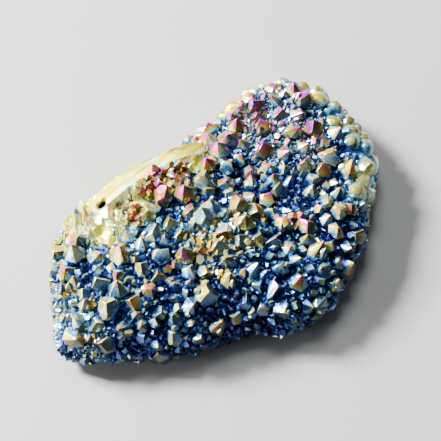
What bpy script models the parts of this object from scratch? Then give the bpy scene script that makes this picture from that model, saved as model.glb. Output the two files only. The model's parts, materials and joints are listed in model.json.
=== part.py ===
"""Aura quartz cluster: a slab of quartz whose top and sides are grown over with six-sided crystal points.

The whole cluster grew as one stone, so it is one solid: the slab, the broken ledge along its far edge and
every crystal are joined. Metres, +Z up, origin on the table under the middle of the box, +X along the slab.
The dimensions below are in millimetres, and build() brings the finished shapes to metres.
"""

import math
import random
from typing import NamedTuple

import bmesh
import bpy
from mathutils import Matrix, Vector, noise
from mathutils.bvhtree import BVHTree

MM = 0.001
SEED = 7

# The slab.
SLAB_HEIGHT = 15.0  # table to the crystals' feet, at the middle
TOP_ROUGHNESS = 0.9  # how far the growth surface wanders up and down
WALL_ROUGHNESS = 1.2  # how far the side walls wander in and out
ROUGHNESS_SPACING = 9.0  # from one lump of the surface to the next
RING_SPACING = 3.0  # between two rings of the slab, as its lumps are counted
SLAB_SECTORS = 30

# The slab's outline at its waist: its reach from the middle every 15 degrees, counter-clockwise from +X.
WAIST_REACH = (
    47.5, 50.5, 49.5, 36.5, 30.0, 27.0, 26.5, 29.0, 34.0, 40.0, 43.5, 46.0,
    52.5, 42.5, 37.0, 31.5, 29.5, 33.0, 34.0, 34.0, 33.5, 36.0, 38.0, 46.0,
)  # fmt: skip

# The slab's section, from the middle of its foot to the middle of its top: (share of reach, share of height).
SECTION = (
    (0.0, 0.0), (0.86, 0.0), (0.96, 0.12), (1.0, 0.36), (0.98, 0.64),
    (0.89, 0.86), (0.73, 0.96), (0.48, 1.0), (0.24, 1.0), (0.0, 1.0),
)  # fmt: skip

# Broad swells and hollows of the growth surface: (x, y, rise, spread).
SWELLS = (
    (37.0, 11.0, 2.5, 11.0),
    (-8.0, -4.0, 2.0, 9.0),
    (-30.0, 4.0, 1.0, 8.0),
    (20.0, -18.0, 1.2, 9.0),
    (-15.5, 7.5, -5.0, 4.2),
    (13.0, 4.0, -2.4, 4.5),
    (9.0, -19.0, -1.6, 5.0),
)

# The broken ledge of bare quartz along the far edge: corners of its hull.
LEDGE_CORNERS = (
    (-27.5, 24.0, 15.5), (-17.6, 25.0, 17.2), (-8.5, 24.0, 18.0), (1.0, 21.8, 18.2), (10.0, 18.4, 17.4),
    (8.0, 15.5, 17.0), (-2.0, 16.8, 17.8), (-9.8, 17.0, 17.4), (-17.6, 13.6, 15.8), (-23.5, 10.0, 11.2),
    (-28.6, 12.4, 10.4), (-32.5, 18.0, 10.8), (-31.0, 22.5, 7.0), (-22.0, 24.0, 6.0), (-2.0, 23.0, 5.0),
    (10.0, 18.5, 5.0), (4.0, 12.0, 5.0), (-22.0, 8.5, 5.0),
)  # fmt: skip

# The stretch of the growth surface that the ledge keeps bare.
BARE_FROM, BARE_MIDDLE, BARE_TO = -31.0, -4.0, 9.0  # along X
BARE_EDGE, BARE_SLANT = 15.5, 0.25  # its near edge at the middle, and how fast that edge falls away in Y

# A crystal point, in units of its own radius.
CRYSTAL_SHAPES = 16
THREE_FACED_SHAPES = (1, 2, 4, 7, 8, 10, 13, 14)  # these end in three faces, as a cube's corner does
TIP_HEIGHT = 1.1  # from the shoulder to the tip, which sets the tip faces at quartz's 51.8 degrees
RIDGE_HEIGHT = 0.55  # where two faces of a three-faced tip meet the side between them
ROOT_DEPTH = 1.5  # from the shoulder down into the slab
TIP_DRIFT = 0.26  # how far a tip stands off the long axis
FLATTENING = 0.17  # how far a crystal's section is from regular

# The largest crystals, placed one by one: (x, y, radius).
MAIN_CRYSTALS = (
    (-20.5, -15.5, 3.2), (38.5, -16.0, 3.0), (42.5, 9.0, 2.9), (-28.5, 6.0, 3.0), (44.0, -9.5, 2.9),
    (-0.5, -7.5, 2.9), (29.5, -7.5, 2.8), (-1.5, -27.5, 2.8), (-2.5, 1.5, 2.8), (34.5, -12.5, 2.7),
    (20.0, 6.0, 2.7), (3.5, -19.5, 2.7), (17.0, 1.5, 2.7), (-36.5, 4.0, 2.7), (44.5, -3.5, 2.7),
    (40.0, 1.0, 2.7), (6.5, -2.5, 2.6), (34.0, 8.0, 2.6), (11.0, -18.0, 2.6), (33.5, 2.0, 2.6),
    (28.5, 5.0, 2.6), (23.0, 1.5, 2.6), (-40.5, 9.0, 2.6), (-21.5, -0.5, 2.6), (38.5, 14.5, 2.5),
    (5.0, 5.0, 2.5), (19.0, -11.5, 2.5), (30.5, 11.5, 2.5), (30.5, -13.0, 2.5), (-14.5, -23.0, 2.5),
    (29.5, -18.5, 2.5), (23.5, -5.5, 2.4), (9.0, 9.0, 2.4), (-14.0, -16.0, 2.4), (24.0, -16.0, 2.4),
    (-34.0, -5.5, 2.4), (-30.0, -15.0, 2.4), (13.5, -6.0, 2.4), (20.0, -20.0, 2.4), (-7.0, 4.5, 2.4),
    (15.5, -23.5, 2.4), (7.0, -14.0, 2.4), (24.5, 11.0, 2.4), (6.0, -29.5, 2.4), (-14.0, 0.5, 2.4),
    (17.5, 11.0, 2.2), (13.5, 8.5, 2.2), (27.5, -0.5, 2.2), (-2.5, -22.5, 2.2), (-27.0, -0.5, 2.2),
    (-44.0, -3.5, 2.2), (-37.0, -11.5, 2.2), (-42.5, 2.0, 2.2), (-24.0, -9.0, 2.2), (-29.5, -5.5, 2.2),
    (10.5, 1.5, 2.2), (17.5, -5.5, 2.2), (-9.5, -22.0, 2.1), (-16.5, -11.0, 2.1), (-33.5, -11.0, 2.1),
)  # fmt: skip

# How the others are scattered: (smallest radius, largest radius, tries).
GENERATIONS = ((2.3, 3.0, 1500), (1.8, 2.4, 5000))
CRYSTAL_LIMIT = 214
PACKING = 0.76  # share of the two radii that neighbours keep between their feet
CLEARANCE = 2.0  # the same, for crystals that mustn't touch at all
SCATTER_LEAN = math.radians(11.0)  # the spread of a crystal's lean
UPRIGHT_PULL = 0.45  # how far a crystal on a slope still points up
SHOULDER_SHARE = (0.05, 0.75)  # of the radius, how far a shoulder stands out of the slab
WALL_SIZE = 0.70  # how large a crystal on an upright wall is, beside one on the top
WALL_CHANCE = 0.25  # how often a crystal takes root on an upright wall, beside the top
LOWEST_POINT = 0.8  # no crystal comes nearer to the table
LOWEST_FOOT = 4.5


class Place(NamedTuple):
    """Where one crystal stands, and which."""

    foot: Vector
    axis: Vector
    radius: float
    shape: int
    turn: float
    shoulder: float


def smooth_cycle(values, turn):
    """The cyclic Catmull-Rom curve through evenly spaced values, at a share of a full turn."""
    place = (turn % 1.0) * len(values)
    first = int(place)
    t = place - first
    a, b, c, d = (values[(first + step) % len(values)] for step in (-1, 0, 1, 2))
    return 0.5 * (2 * b + (c - a) * t + (2 * a - 5 * b + 4 * c - d) * t**2 + (3 * b - a - 3 * c + d) * t**3)


def top_height(x, y):
    """Height of the growth surface over the table."""
    rise = 0.0
    for swell_x, swell_y, lift, spread in SWELLS:
        rise += lift * math.exp(-((x - swell_x) ** 2 + (y - swell_y) ** 2) / (2 * spread**2))
    return SLAB_HEIGHT + rise + TOP_ROUGHNESS * noise.noise(Vector((x, y, SEED)) / ROUGHNESS_SPACING)


def slab_spot(level, sector):
    """One point of the slab: its section's level, at one of its sectors."""
    reach_share, height_share = SECTION[level]
    angle = math.tau * sector / SLAB_SECTORS
    way = Vector((math.cos(angle), math.sin(angle), 0.0))
    reach = reach_share * smooth_cycle(WAIST_REACH, sector / SLAB_SECTORS)
    lumps = noise.noise((way * reach + Vector((0.0, 0.0, RING_SPACING * level))) / ROUGHNESS_SPACING)
    spot = way * (reach + WALL_ROUGHNESS * lumps * reach_share)
    spot.z = height_share * top_height(spot.x, spot.y)
    return spot


def slab_mesh():
    """The slab without its crystals, in triangles, ring by ring from the foot's middle to the top's."""
    mesh = bmesh.new()
    last = len(SECTION) - 1
    foot = mesh.verts.new(slab_spot(0, 0))
    crown = mesh.verts.new(slab_spot(last, 0))
    rings = [[mesh.verts.new(slab_spot(level, k)) for k in range(SLAB_SECTORS)] for level in range(1, last)]
    for sector in range(SLAB_SECTORS):
        after = (sector + 1) % SLAB_SECTORS
        mesh.faces.new((foot, rings[0][after], rings[0][sector]))
        mesh.faces.new((crown, rings[-1][sector], rings[-1][after]))
        for lower, upper in zip(rings, rings[1:]):
            mesh.faces.new((lower[sector], lower[after], upper[after], upper[sector]))
    bmesh.ops.triangulate(mesh, faces=mesh.faces)
    return mesh


def ledge_mesh():
    """The block of bare, broken quartz along the far edge, as the hull of its corners."""
    mesh = bmesh.new()
    for corner in LEDGE_CORNERS:
        mesh.verts.new(corner)
    bmesh.ops.convex_hull(mesh, input=mesh.verts)
    inside = [vert for vert in mesh.verts if not vert.link_faces]
    bmesh.ops.delete(mesh, geom=inside, context="VERTS")
    bmesh.ops.recalc_face_normals(mesh, faces=mesh.faces)
    return mesh


def crystal_mesh(three_faced, chance):
    """A six-sided point of radius 1 along +Z, its shoulder at z = 0, with a tip of six faces or of three."""
    mesh = bmesh.new()
    drift = Vector((chance.uniform(-TIP_DRIFT, TIP_DRIFT), chance.uniform(-TIP_DRIFT, TIP_DRIFT), 0.0))
    widen = 1.0 + chance.uniform(-FLATTENING, FLATTENING)

    def corner(side, reach, height):
        turn = math.tau * side / 6
        spot = Vector((math.cos(turn) * reach * widen, math.sin(turn) * reach / widen, height))
        return mesh.verts.new(spot + drift * max(height, 0.0) / TIP_HEIGHT)

    roots = [corner(side, 1.0, -ROOT_DEPTH) for side in range(6)]
    shoulders = [corner(side, 1.0, 0.0) for side in range(6)]
    tip = corner(0, 0.0, TIP_HEIGHT)
    ridges = {}
    if three_faced:
        apothem = math.cos(math.pi / 6)
        ridges = {side: corner(side + 0.5, apothem, RIDGE_HEIGHT) for side in (0, 2, 4)}
    mesh.faces.new(reversed(roots))
    for side in range(6):
        after = (side + 1) % 6
        wall = [roots[side], roots[after], shoulders[after]]
        mesh.faces.new(wall + ([ridges[side]] if side in ridges else []) + [shoulders[side]])
        if not three_faced:
            mesh.faces.new((shoulders[side], shoulders[after], tip))
        elif side not in ridges:
            mesh.faces.new((ridges[side - 1], shoulders[side], shoulders[after], ridges[(side + 1) % 6], tip))
    return mesh


def under_ledge(spot):
    """True where the bare ledge leaves no room for crystals."""
    near_edge = BARE_EDGE - BARE_SLANT * abs(spot.x - BARE_MIDDLE)
    return BARE_FROM < spot.x < BARE_TO and spot.y > near_edge


def scattered_spot(triangles, running_area, chance):
    """A point on the slab, evenly spread over its area, with the outward direction there."""
    pick = chance.random() * running_area[-1]
    low, high = 0, len(running_area) - 1
    while low < high:
        middle = (low + high) // 2
        low, high = (middle + 1, high) if running_area[middle] < pick else (low, middle)
    a, b, c = triangles[low]
    root, share = math.sqrt(chance.random()), chance.random()
    spot = a * (1 - root) + b * (root * (1 - share)) + c * (root * share)
    return spot, (b - a).cross(c - a).normalized()


def grown(places, spot, outward, radius, chance):
    """Adds a crystal at a spot of the slab, unless it is too near another crystal or the table."""
    levelness = max(outward.z, 0.0)
    radius *= WALL_SIZE + (1.0 - WALL_SIZE) * levelness
    if any((spot - other.foot).length < PACKING * (radius + other.radius) for other in places):
        return
    lean = Vector([chance.gauss(0.0, math.tan(SCATTER_LEAN)) for _ in range(3)])
    axis = (outward.lerp(Vector((0.0, 0.0, 1.0)), UPRIGHT_PULL) + lean).normalized()
    shoulder = chance.uniform(*SHOULDER_SHARE) * levelness * radius
    shape = chance.randrange(CRYSTAL_SHAPES)
    place = Place(spot, axis, radius, shape, chance.uniform(0.0, math.tau), shoulder)
    root = spot.z + (place.shoulder - ROOT_DEPTH * radius) * axis.z
    if root - radius * math.sqrt(1.0 - axis.z**2) > LOWEST_POINT:
        places.append(place)


def crystal_places(slab, chance):
    """Every crystal of the solid: the hand-placed ones first, then the scattered ones, large before small."""
    places = []
    surface = BVHTree.FromBMesh(slab)
    for x, y, radius in MAIN_CRYSTALS:
        spot, outward, _, _ = surface.find_nearest(Vector((x, y, SLAB_HEIGHT)))
        grown(places, spot, outward, radius, chance)
    triangles = [tuple(vert.co.copy() for vert in face.verts) for face in slab.faces]
    running_area, total = [], 0.0
    for face in slab.faces:
        total += face.calc_area()
        running_area.append(total)
    for smallest, largest, tries in GENERATIONS:
        for _ in range(tries):
            spot, outward = scattered_spot(triangles, running_area, chance)
            radius = chance.uniform(smallest, largest)
            rooted = chance.random() < WALL_CHANCE + (1.0 - WALL_CHANCE) * max(outward.z, 0.0)
            if rooted and len(places) < CRYSTAL_LIMIT and spot.z > LOWEST_FOOT and not under_ledge(spot):
                grown(places, spot, outward, radius, chance)
    return places


def standing(place):
    """The matrix that stands a unit crystal at its place."""
    return (
        Matrix.Translation(place.foot + place.axis * place.shoulder)
        @ place.axis.to_track_quat("Z", "Y").to_matrix().to_4x4()
        @ Matrix.Rotation(place.turn, 4, "Z")
        @ Matrix.Scale(place.radius, 4)
    )


def batches(places):
    """The crystals in groups whose members stand clear of each other: an operand mustn't overlap itself."""

    def clear(place, other):
        return (place.foot - other.foot).length > CLEARANCE * (place.radius + other.radius)

    groups = []
    for place in places:
        for group in groups:
            if all(clear(place, other) for other in group):
                group.append(place)
                break
        else:
            groups.append([place])
    return groups


def bunch_mesh(group, shapes):
    """The crystals of one batch in one mesh."""
    bunch = bmesh.new()
    for place in group:
        data = bpy.data.meshes.new("crystal")
        shapes[place.shape].to_mesh(data)
        data.transform(standing(place))
        bunch.from_mesh(data)
        bpy.data.meshes.remove(data)
    return bunch


def new_object(name, mesh):
    """A scene object from a bmesh."""
    data = bpy.data.meshes.new(name)
    mesh.to_mesh(data)
    mesh.free()
    made = bpy.data.objects.new(name, data)
    bpy.context.scene.collection.objects.link(made)
    return made


def bring_to_frame(made):
    """Centres the shapes over the origin and brings them from millimetres to metres."""
    corners = [vert.co for thing in made for vert in thing.data.vertices]
    middle = [(min(c[k] for c in corners) + max(c[k] for c in corners)) / 2 for k in range(2)]
    for thing in made:
        thing.data.transform(Matrix.Scale(MM, 4) @ Matrix.Translation((-middle[0], -middle[1], 0.0)))


def join(target, operand):
    """Joins the operand into the target, by MANIFOLD: EXACT leaves open edges where so many crystals cross."""
    operand.hide_render = True
    operand.display_type = "WIRE"
    union = target.modifiers.new("join_" + operand.name, "BOOLEAN")
    union.operation = "UNION"
    union.solver = "MANIFOLD"
    union.object = operand


def coated_quartz():
    """Quartz under a thin metallic film that runs from deep blue to gold and magenta."""
    material = bpy.data.materials.new("aura_coating")
    material.use_nodes = True
    shader = material.node_tree.nodes["Principled BSDF"]
    shader.inputs["Base Color"].default_value = (0.30, 0.34, 0.42, 1.0)
    shader.inputs["Metallic"].default_value = 0.85
    shader.inputs["Roughness"].default_value = 0.28
    return material


def build():
    """Builds the cluster."""
    for thing in list(bpy.data.objects):
        bpy.data.objects.remove(thing)
    chance = random.Random(SEED)
    shapes = [crystal_mesh(number in THREE_FACED_SHAPES, chance) for number in range(CRYSTAL_SHAPES)]
    slab = slab_mesh()
    groups = batches(crystal_places(slab, chance))
    cluster = new_object("quartz_cluster", slab)
    operands = [new_object("ledge", ledge_mesh())]
    for number, group in enumerate(groups):
        operands.append(new_object(f"crystals_{number}", bunch_mesh(group, shapes)))
    bring_to_frame([cluster, *operands])
    for operand in operands:
        join(cluster, operand)
    cluster.data.materials.append(coated_quartz())


build()
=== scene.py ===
"""Finish of the aura quartz cluster: a hand-sized druse of quartz points under a rainbow metal film.

The solid holds the slab, the ledge and the largest points. This script grows the same ones from the same
rules, and adds what is too fine for the solid: the grain and worn edges, points that grow in parallel on the
large ones, the smaller points between them, and the sugar of tiny ones in the gaps. Sizes are in
millimetres until a piece is done.
"""

import json
import logging
import math
import random
from bisect import bisect_left
from contextlib import contextmanager
from dataclasses import dataclass, field
from enum import Enum
from itertools import accumulate
from typing import Iterator, NamedTuple, Optional, Sequence

import bmesh
import bpy
import numpy as np
from mathutils import Matrix, Vector, noise
from mathutils.bvhtree import BVHTree

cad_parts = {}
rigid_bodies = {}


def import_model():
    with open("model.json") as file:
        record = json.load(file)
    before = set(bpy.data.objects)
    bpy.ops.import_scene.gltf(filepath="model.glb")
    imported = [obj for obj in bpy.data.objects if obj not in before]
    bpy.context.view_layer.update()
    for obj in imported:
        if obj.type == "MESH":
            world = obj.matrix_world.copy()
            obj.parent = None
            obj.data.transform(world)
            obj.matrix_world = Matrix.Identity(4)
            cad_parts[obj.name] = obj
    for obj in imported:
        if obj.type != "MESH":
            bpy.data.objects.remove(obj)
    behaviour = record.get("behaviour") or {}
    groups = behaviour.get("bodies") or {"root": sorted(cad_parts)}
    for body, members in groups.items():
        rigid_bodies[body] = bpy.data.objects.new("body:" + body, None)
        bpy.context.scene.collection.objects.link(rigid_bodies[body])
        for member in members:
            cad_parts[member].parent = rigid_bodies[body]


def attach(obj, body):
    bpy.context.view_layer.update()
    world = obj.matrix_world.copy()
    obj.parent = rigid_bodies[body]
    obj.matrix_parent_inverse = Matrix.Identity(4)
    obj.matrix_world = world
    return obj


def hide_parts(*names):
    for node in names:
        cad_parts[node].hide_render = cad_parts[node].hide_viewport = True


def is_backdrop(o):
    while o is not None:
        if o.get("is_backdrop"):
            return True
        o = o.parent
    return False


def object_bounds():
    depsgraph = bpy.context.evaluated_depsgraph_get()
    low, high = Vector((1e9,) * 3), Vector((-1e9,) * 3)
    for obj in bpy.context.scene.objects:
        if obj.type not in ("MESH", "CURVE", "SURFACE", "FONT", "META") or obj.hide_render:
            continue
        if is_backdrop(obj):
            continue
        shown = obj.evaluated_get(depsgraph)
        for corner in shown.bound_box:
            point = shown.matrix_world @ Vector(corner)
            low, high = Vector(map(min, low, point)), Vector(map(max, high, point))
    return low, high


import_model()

log = logging.getLogger("aura_quartz")

Mesh = bpy.types.Mesh
Socket = bpy.types.NodeSocket
Pair = tuple[float, float]
Triple = tuple[float, float, float]
Quad = tuple[float, float, float, float]
Tries = tuple[float, float, int]
Stops = tuple[tuple[float, Triple], ...]

NODE = "quartz_cluster"
BODY = "root"
MM = 0.001
SEED = 7
UP = Vector((0.0, 0.0, 1.0))


class Kind(Enum):
    """What a face of the stone belongs to."""

    SLAB = 0
    LEDGE = 1
    CRYSTAL = 2
    WORN = 3


class Tip(Enum):
    """How a quartz point ends."""

    SIX_FACED = 6
    THREE_FACED = 3


class Cut(Enum):
    """Which version of a shape a crystal is made from."""

    BEVELLED = 0
    ROUNDED = 1
    PLAIN = 2
    BROKEN = 3


class Place(NamedTuple):
    """Where one crystal stands, and which shape it has."""

    foot: Vector
    axis: Vector
    radius: float
    cut: Cut = Cut.BEVELLED
    stretch: float = 1.0
    shape: int = 0
    turn: float = 0.0
    shoulder: float = 0.0


class Druse(NamedTuple):
    """A patch where small points stand close together, seen from above."""

    x: float
    y: float
    length: float
    width: float
    turn: float
    tries: int
    smallest: float
    largest: float
    packing: float = 0.62


class Growth(NamedTuple):
    """How one class of crystals grows: its generations' radii and numbers of tries, and its rules."""

    generations: tuple[Tries, ...]
    packing: float
    lean: float
    pull: float
    wall_size: float
    shoulder: Pair
    lowest_foot: float
    lowest_point: float

    def sized(self, radius: float, outward: Vector) -> float:
        """A crystal's radius where the slab faces a way: it is smaller on the walls."""
        return radius * (self.wall_size + (1.0 - self.wall_size) * max(outward.z, 0.0))


def smooth_cycle(values: Sequence[float], turn: float) -> float:
    """The cyclic Catmull-Rom curve through evenly spaced values.

    Args:
        values: The values around the cycle.
        turn: The share of a full turn to read at.

    Returns:
        The value there.
    """
    place = (turn % 1.0) * len(values)
    first = int(place)
    t = place - first
    a, b, c, d = (values[(first + step) % len(values)] for step in (-1, 0, 1, 2))
    return 0.5 * (2 * b + (c - a) * t + (2 * a - 5 * b + 4 * c - d) * t**2 + (3 * b - a - 3 * c + d) * t**3)


def eased(value: float, start: float, end: float) -> float:
    """A smooth step from 0 at the start to 1 at the end."""
    share = min(max((value - start) / (end - start), 0.0), 1.0)
    return share * share * (3.0 - 2.0 * share)


def spaced(spot: Vector, spacing: Triple) -> Vector:
    """A point in units of the spacing along each axis."""
    return Vector(a / b for a, b in zip(spot, spacing))


def polar(turn: float, reach: Pair) -> Vector:
    """A level vector that goes a way, as far as its reach along X and along Y."""
    return Vector((math.cos(turn) * reach[0], math.sin(turn) * reach[1], 0.0))


def new_object(name: str, data: bpy.types.ID) -> bpy.types.Object:
    """Links a mesh, a light or a camera into the scene.

    Args:
        name: The object's name.
        data: What it shows.

    Returns:
        The object, at the origin.
    """
    data.name = name
    made = bpy.data.objects.new(name, data)
    bpy.context.scene.collection.objects.link(made)
    return made


def mesh_from(shape: bmesh.types.BMesh, name: str) -> Mesh:
    """The mesh of a bmesh, which is freed.

    Args:
        shape: The bmesh.
        name: The mesh's name.

    Returns:
        The mesh.
    """
    data = bpy.data.meshes.new(name)
    shape.to_mesh(data)
    shape.free()
    return data


def surface_of(shape: bmesh.types.BMesh) -> BVHTree:
    """The searchable surface of a bmesh, which is freed.

    Args:
        shape: The bmesh.

    Returns:
        Its surface.
    """
    tree = BVHTree.FromBMesh(shape)
    shape.free()
    return tree


def corners_of(shape: bmesh.types.BMesh) -> list[Vector]:
    """The places of the points of a bmesh, which is freed.

    Args:
        shape: The bmesh.

    Returns:
        The places.
    """
    corners = [vert.co.copy() for vert in shape.verts]
    shape.free()
    return corners


def evaluated(carrier: bpy.types.Object) -> Mesh:
    """The mesh that an object's modifiers make; the object is removed.

    Args:
        carrier: The object.

    Returns:
        The mesh.
    """
    made = bpy.data.meshes.new_from_object(carrier.evaluated_get(bpy.context.evaluated_depsgraph_get()))
    bpy.data.objects.remove(carrier)
    return made


def put_values(data: Mesh, name: str, values: np.ndarray, domain: str = "POINT") -> None:
    """Stores an attribute on a mesh.

    Args:
        data: The mesh.
        name: The attribute's name.
        values: A number or a vector for each point or face.
        domain: POINT or FACE.
    """
    number = "INT" if values.dtype.kind == "i" else "FLOAT"
    made = data.attributes.new(name, "FLOAT_VECTOR" if values.ndim == 2 else number, domain)
    made.data.foreach_set("vector" if values.ndim == 2 else "value", np.ravel(values))


def read(source: Sequence, name: str, width: int = 1) -> np.ndarray:
    """Reads a property of each point, face or attribute value.

    Args:
        source: What is read.
        name: The property's name.
        width: How many numbers it has.

    Returns:
        The values, one row for each if they have more numbers.
    """
    values = np.empty(len(source) * width)
    source.foreach_get(name, values)
    return values.reshape(-1, width) if width > 1 else values


def mark(data: Mesh, kind: Kind, tones: np.random.Generator, local: np.ndarray) -> None:
    """Gives a mesh the attributes that stay with it through the union.

    Args:
        data: The mesh.
        kind: What its faces belong to.
        tones: What the tone of each face is drawn from.
        local: Each point's place along its own crystal, or how rough, bordered and pitted it is on the ledge.
    """
    put_values(data, "kind", np.full(len(data.polygons), float(kind.value)), "FACE")
    put_values(data, "facet", tones.random(len(data.polygons)), "FACE")
    put_values(data, "local", local)


@dataclass(frozen=True)
class Slab:
    """The slab of quartz that the crystals grow from."""

    height: float = 15.0
    top_roughness: float = 0.9
    wall_roughness: float = 1.2
    spacing: float = 9.0
    ring_spacing: float = 3.0
    sectors: int = 30
    waist_reach: tuple[float, ...] = (
        47.5, 50.5, 49.5, 36.5, 30.0, 27.0, 26.5, 29.0, 34.0, 40.0, 43.5, 46.0,
        52.5, 42.5, 37.0, 31.5, 29.5, 33.0, 34.0, 34.0, 33.5, 36.0, 38.0, 46.0,
    )  # fmt: skip
    section: tuple[Pair, ...] = (
        (0.0, 0.0), (0.86, 0.0), (0.96, 0.12), (1.0, 0.36), (0.98, 0.64),
        (0.89, 0.86), (0.73, 0.96), (0.48, 1.0), (0.24, 1.0), (0.0, 1.0),
    )  # fmt: skip
    swells: tuple[Quad, ...] = (
        (37.0, 11.0, 2.5, 11.0), (-8.0, -4.0, 2.0, 9.0), (-30.0, 4.0, 1.0, 8.0), (20.0, -18.0, 1.2, 9.0),
        (-15.5, 7.5, -5.0, 4.2), (13.0, 4.0, -2.4, 4.5), (9.0, -19.0, -1.6, 5.0),
    )  # fmt: skip
    fine_sectors: int = 210
    fine_steps: int = 7
    grain: float = 0.35
    grain_spacing: float = 1.7
    grain_fractal: tuple[float, float, int] = (0.8, 2.0, 3)
    rim_facing: float = math.radians(14.0)
    rim_start: float = 0.55
    rim_full: float = 0.70
    rim_inner: float = 0.76
    rim_outer: float = 0.90
    lump: float = 1.5
    lump_spacing: float = 4.6
    lump_level: float = 0.35

    def top(self, x: float, y: float) -> float:
        """Height of the growth surface.

        Args:
            x: Place along the slab.
            y: Place across the slab.

        Returns:
            The height over the table.
        """
        rise = 0.0
        for swell_x, swell_y, lift, spread in self.swells:
            rise += lift * math.exp(-((x - swell_x) ** 2 + (y - swell_y) ** 2) / (2 * spread**2))
        wander = noise.noise(Vector((x, y, SEED)) / self.spacing)
        return self.height + rise + self.top_roughness * wander

    def spot(self, level: float, turn: float) -> Vector:
        """One point of the slab's surface.

        Args:
            level: Its place in the section, in whole rings and parts of one.
            turn: Its share of a full turn.

        Returns:
            The point.
        """
        below = min(int(level), len(self.section) - 2)
        share = level - below
        (reach_a, height_a), (reach_b, height_b) = self.section[below : below + 2]
        reach_share = reach_a + (reach_b - reach_a) * share
        height_share = height_a + (height_b - height_a) * share
        way = polar(math.tau * turn, (1.0, 1.0))
        reach = reach_share * smooth_cycle(self.waist_reach, turn)
        lumps = noise.noise((way * reach + Vector((0.0, 0.0, self.ring_spacing * level))) / self.spacing)
        spot = way * (reach + self.wall_roughness * lumps * reach_share)
        spot.z = height_share * self.top(spot.x, spot.y)
        return spot

    def shell(self, sectors: int, steps: int) -> bmesh.types.BMesh:
        """The slab as rings of points, closed at the middle of its foot and of its top.

        Args:
            sectors: Points around each ring.
            steps: Rings for each step of the section.

        Returns:
            The closed shell.
        """
        shape = bmesh.new()
        last = (len(self.section) - 1) * steps
        foot = shape.verts.new(self.spot(0, 0))
        crown = shape.verts.new(self.spot(len(self.section) - 1, 0))
        rings = [
            [shape.verts.new(self.spot(level / steps, k / sectors)) for k in range(sectors)]
            for level in range(1, last)
        ]
        for sector in range(sectors):
            after = (sector + 1) % sectors
            shape.faces.new((foot, rings[0][after], rings[0][sector]))
            shape.faces.new((crown, rings[-1][sector], rings[-1][after]))
            for lower, upper in zip(rings, rings[1:]):
                shape.faces.new((lower[sector], lower[after], upper[after], upper[sector]))
        return shape

    def rim_share(self, spot: Vector) -> float:
        """How far a point belongs to the slab's worn far rim.

        Args:
            spot: The point.

        Returns:
            The share, from 0 to 1.
        """
        turn = math.atan2(spot.y, spot.x)
        reach = math.hypot(spot.x, spot.y) / smooth_cycle(self.waist_reach, turn / math.tau)
        facing = math.cos(turn - self.rim_facing)
        return eased(facing, self.rim_start, self.rim_full) * eased(reach, self.rim_inner, self.rim_outer)

    def growth_surface(self) -> bmesh.types.BMesh:
        """The coarse shell that the solid's crystals stand on, in triangles.

        Returns:
            The shell.
        """
        shape = self.shell(self.sectors, 1)
        bmesh.ops.triangulate(shape, faces=shape.faces)
        return shape

    def surface(self) -> BVHTree:
        """The growth surface, to search."""
        return surface_of(self.growth_surface())

    def rough_shell(self) -> Mesh:
        """The fine shell, with the grain of broken quartz on all but its flat foot.

        Returns:
            Its mesh.
        """
        shape = self.shell(self.fine_sectors, self.fine_steps)
        shape.normal_update()
        for vert in shape.verts:
            if vert.co.z > 0.0:
                rough = self.grain * noise.fractal(vert.co / self.grain_spacing, *self.grain_fractal)
                nearest = noise.voronoi(vert.co / self.lump_spacing)[0][0]
                cobble = self.lump * self.rim_share(vert.co) * (self.lump_level - nearest * nearest)
                cobble *= eased(vert.co.z, 0.0, 2 * self.lump)
                vert.co += vert.normal * (rough + cobble)
        for vert in shape.verts:
            vert.co.z = max(vert.co.z, 0.0)
        data = mesh_from(shape, "slab_shell")
        mark(data, Kind.SLAB, np.random.default_rng(SEED), np.zeros((len(data.vertices), 3)))
        return data


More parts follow.
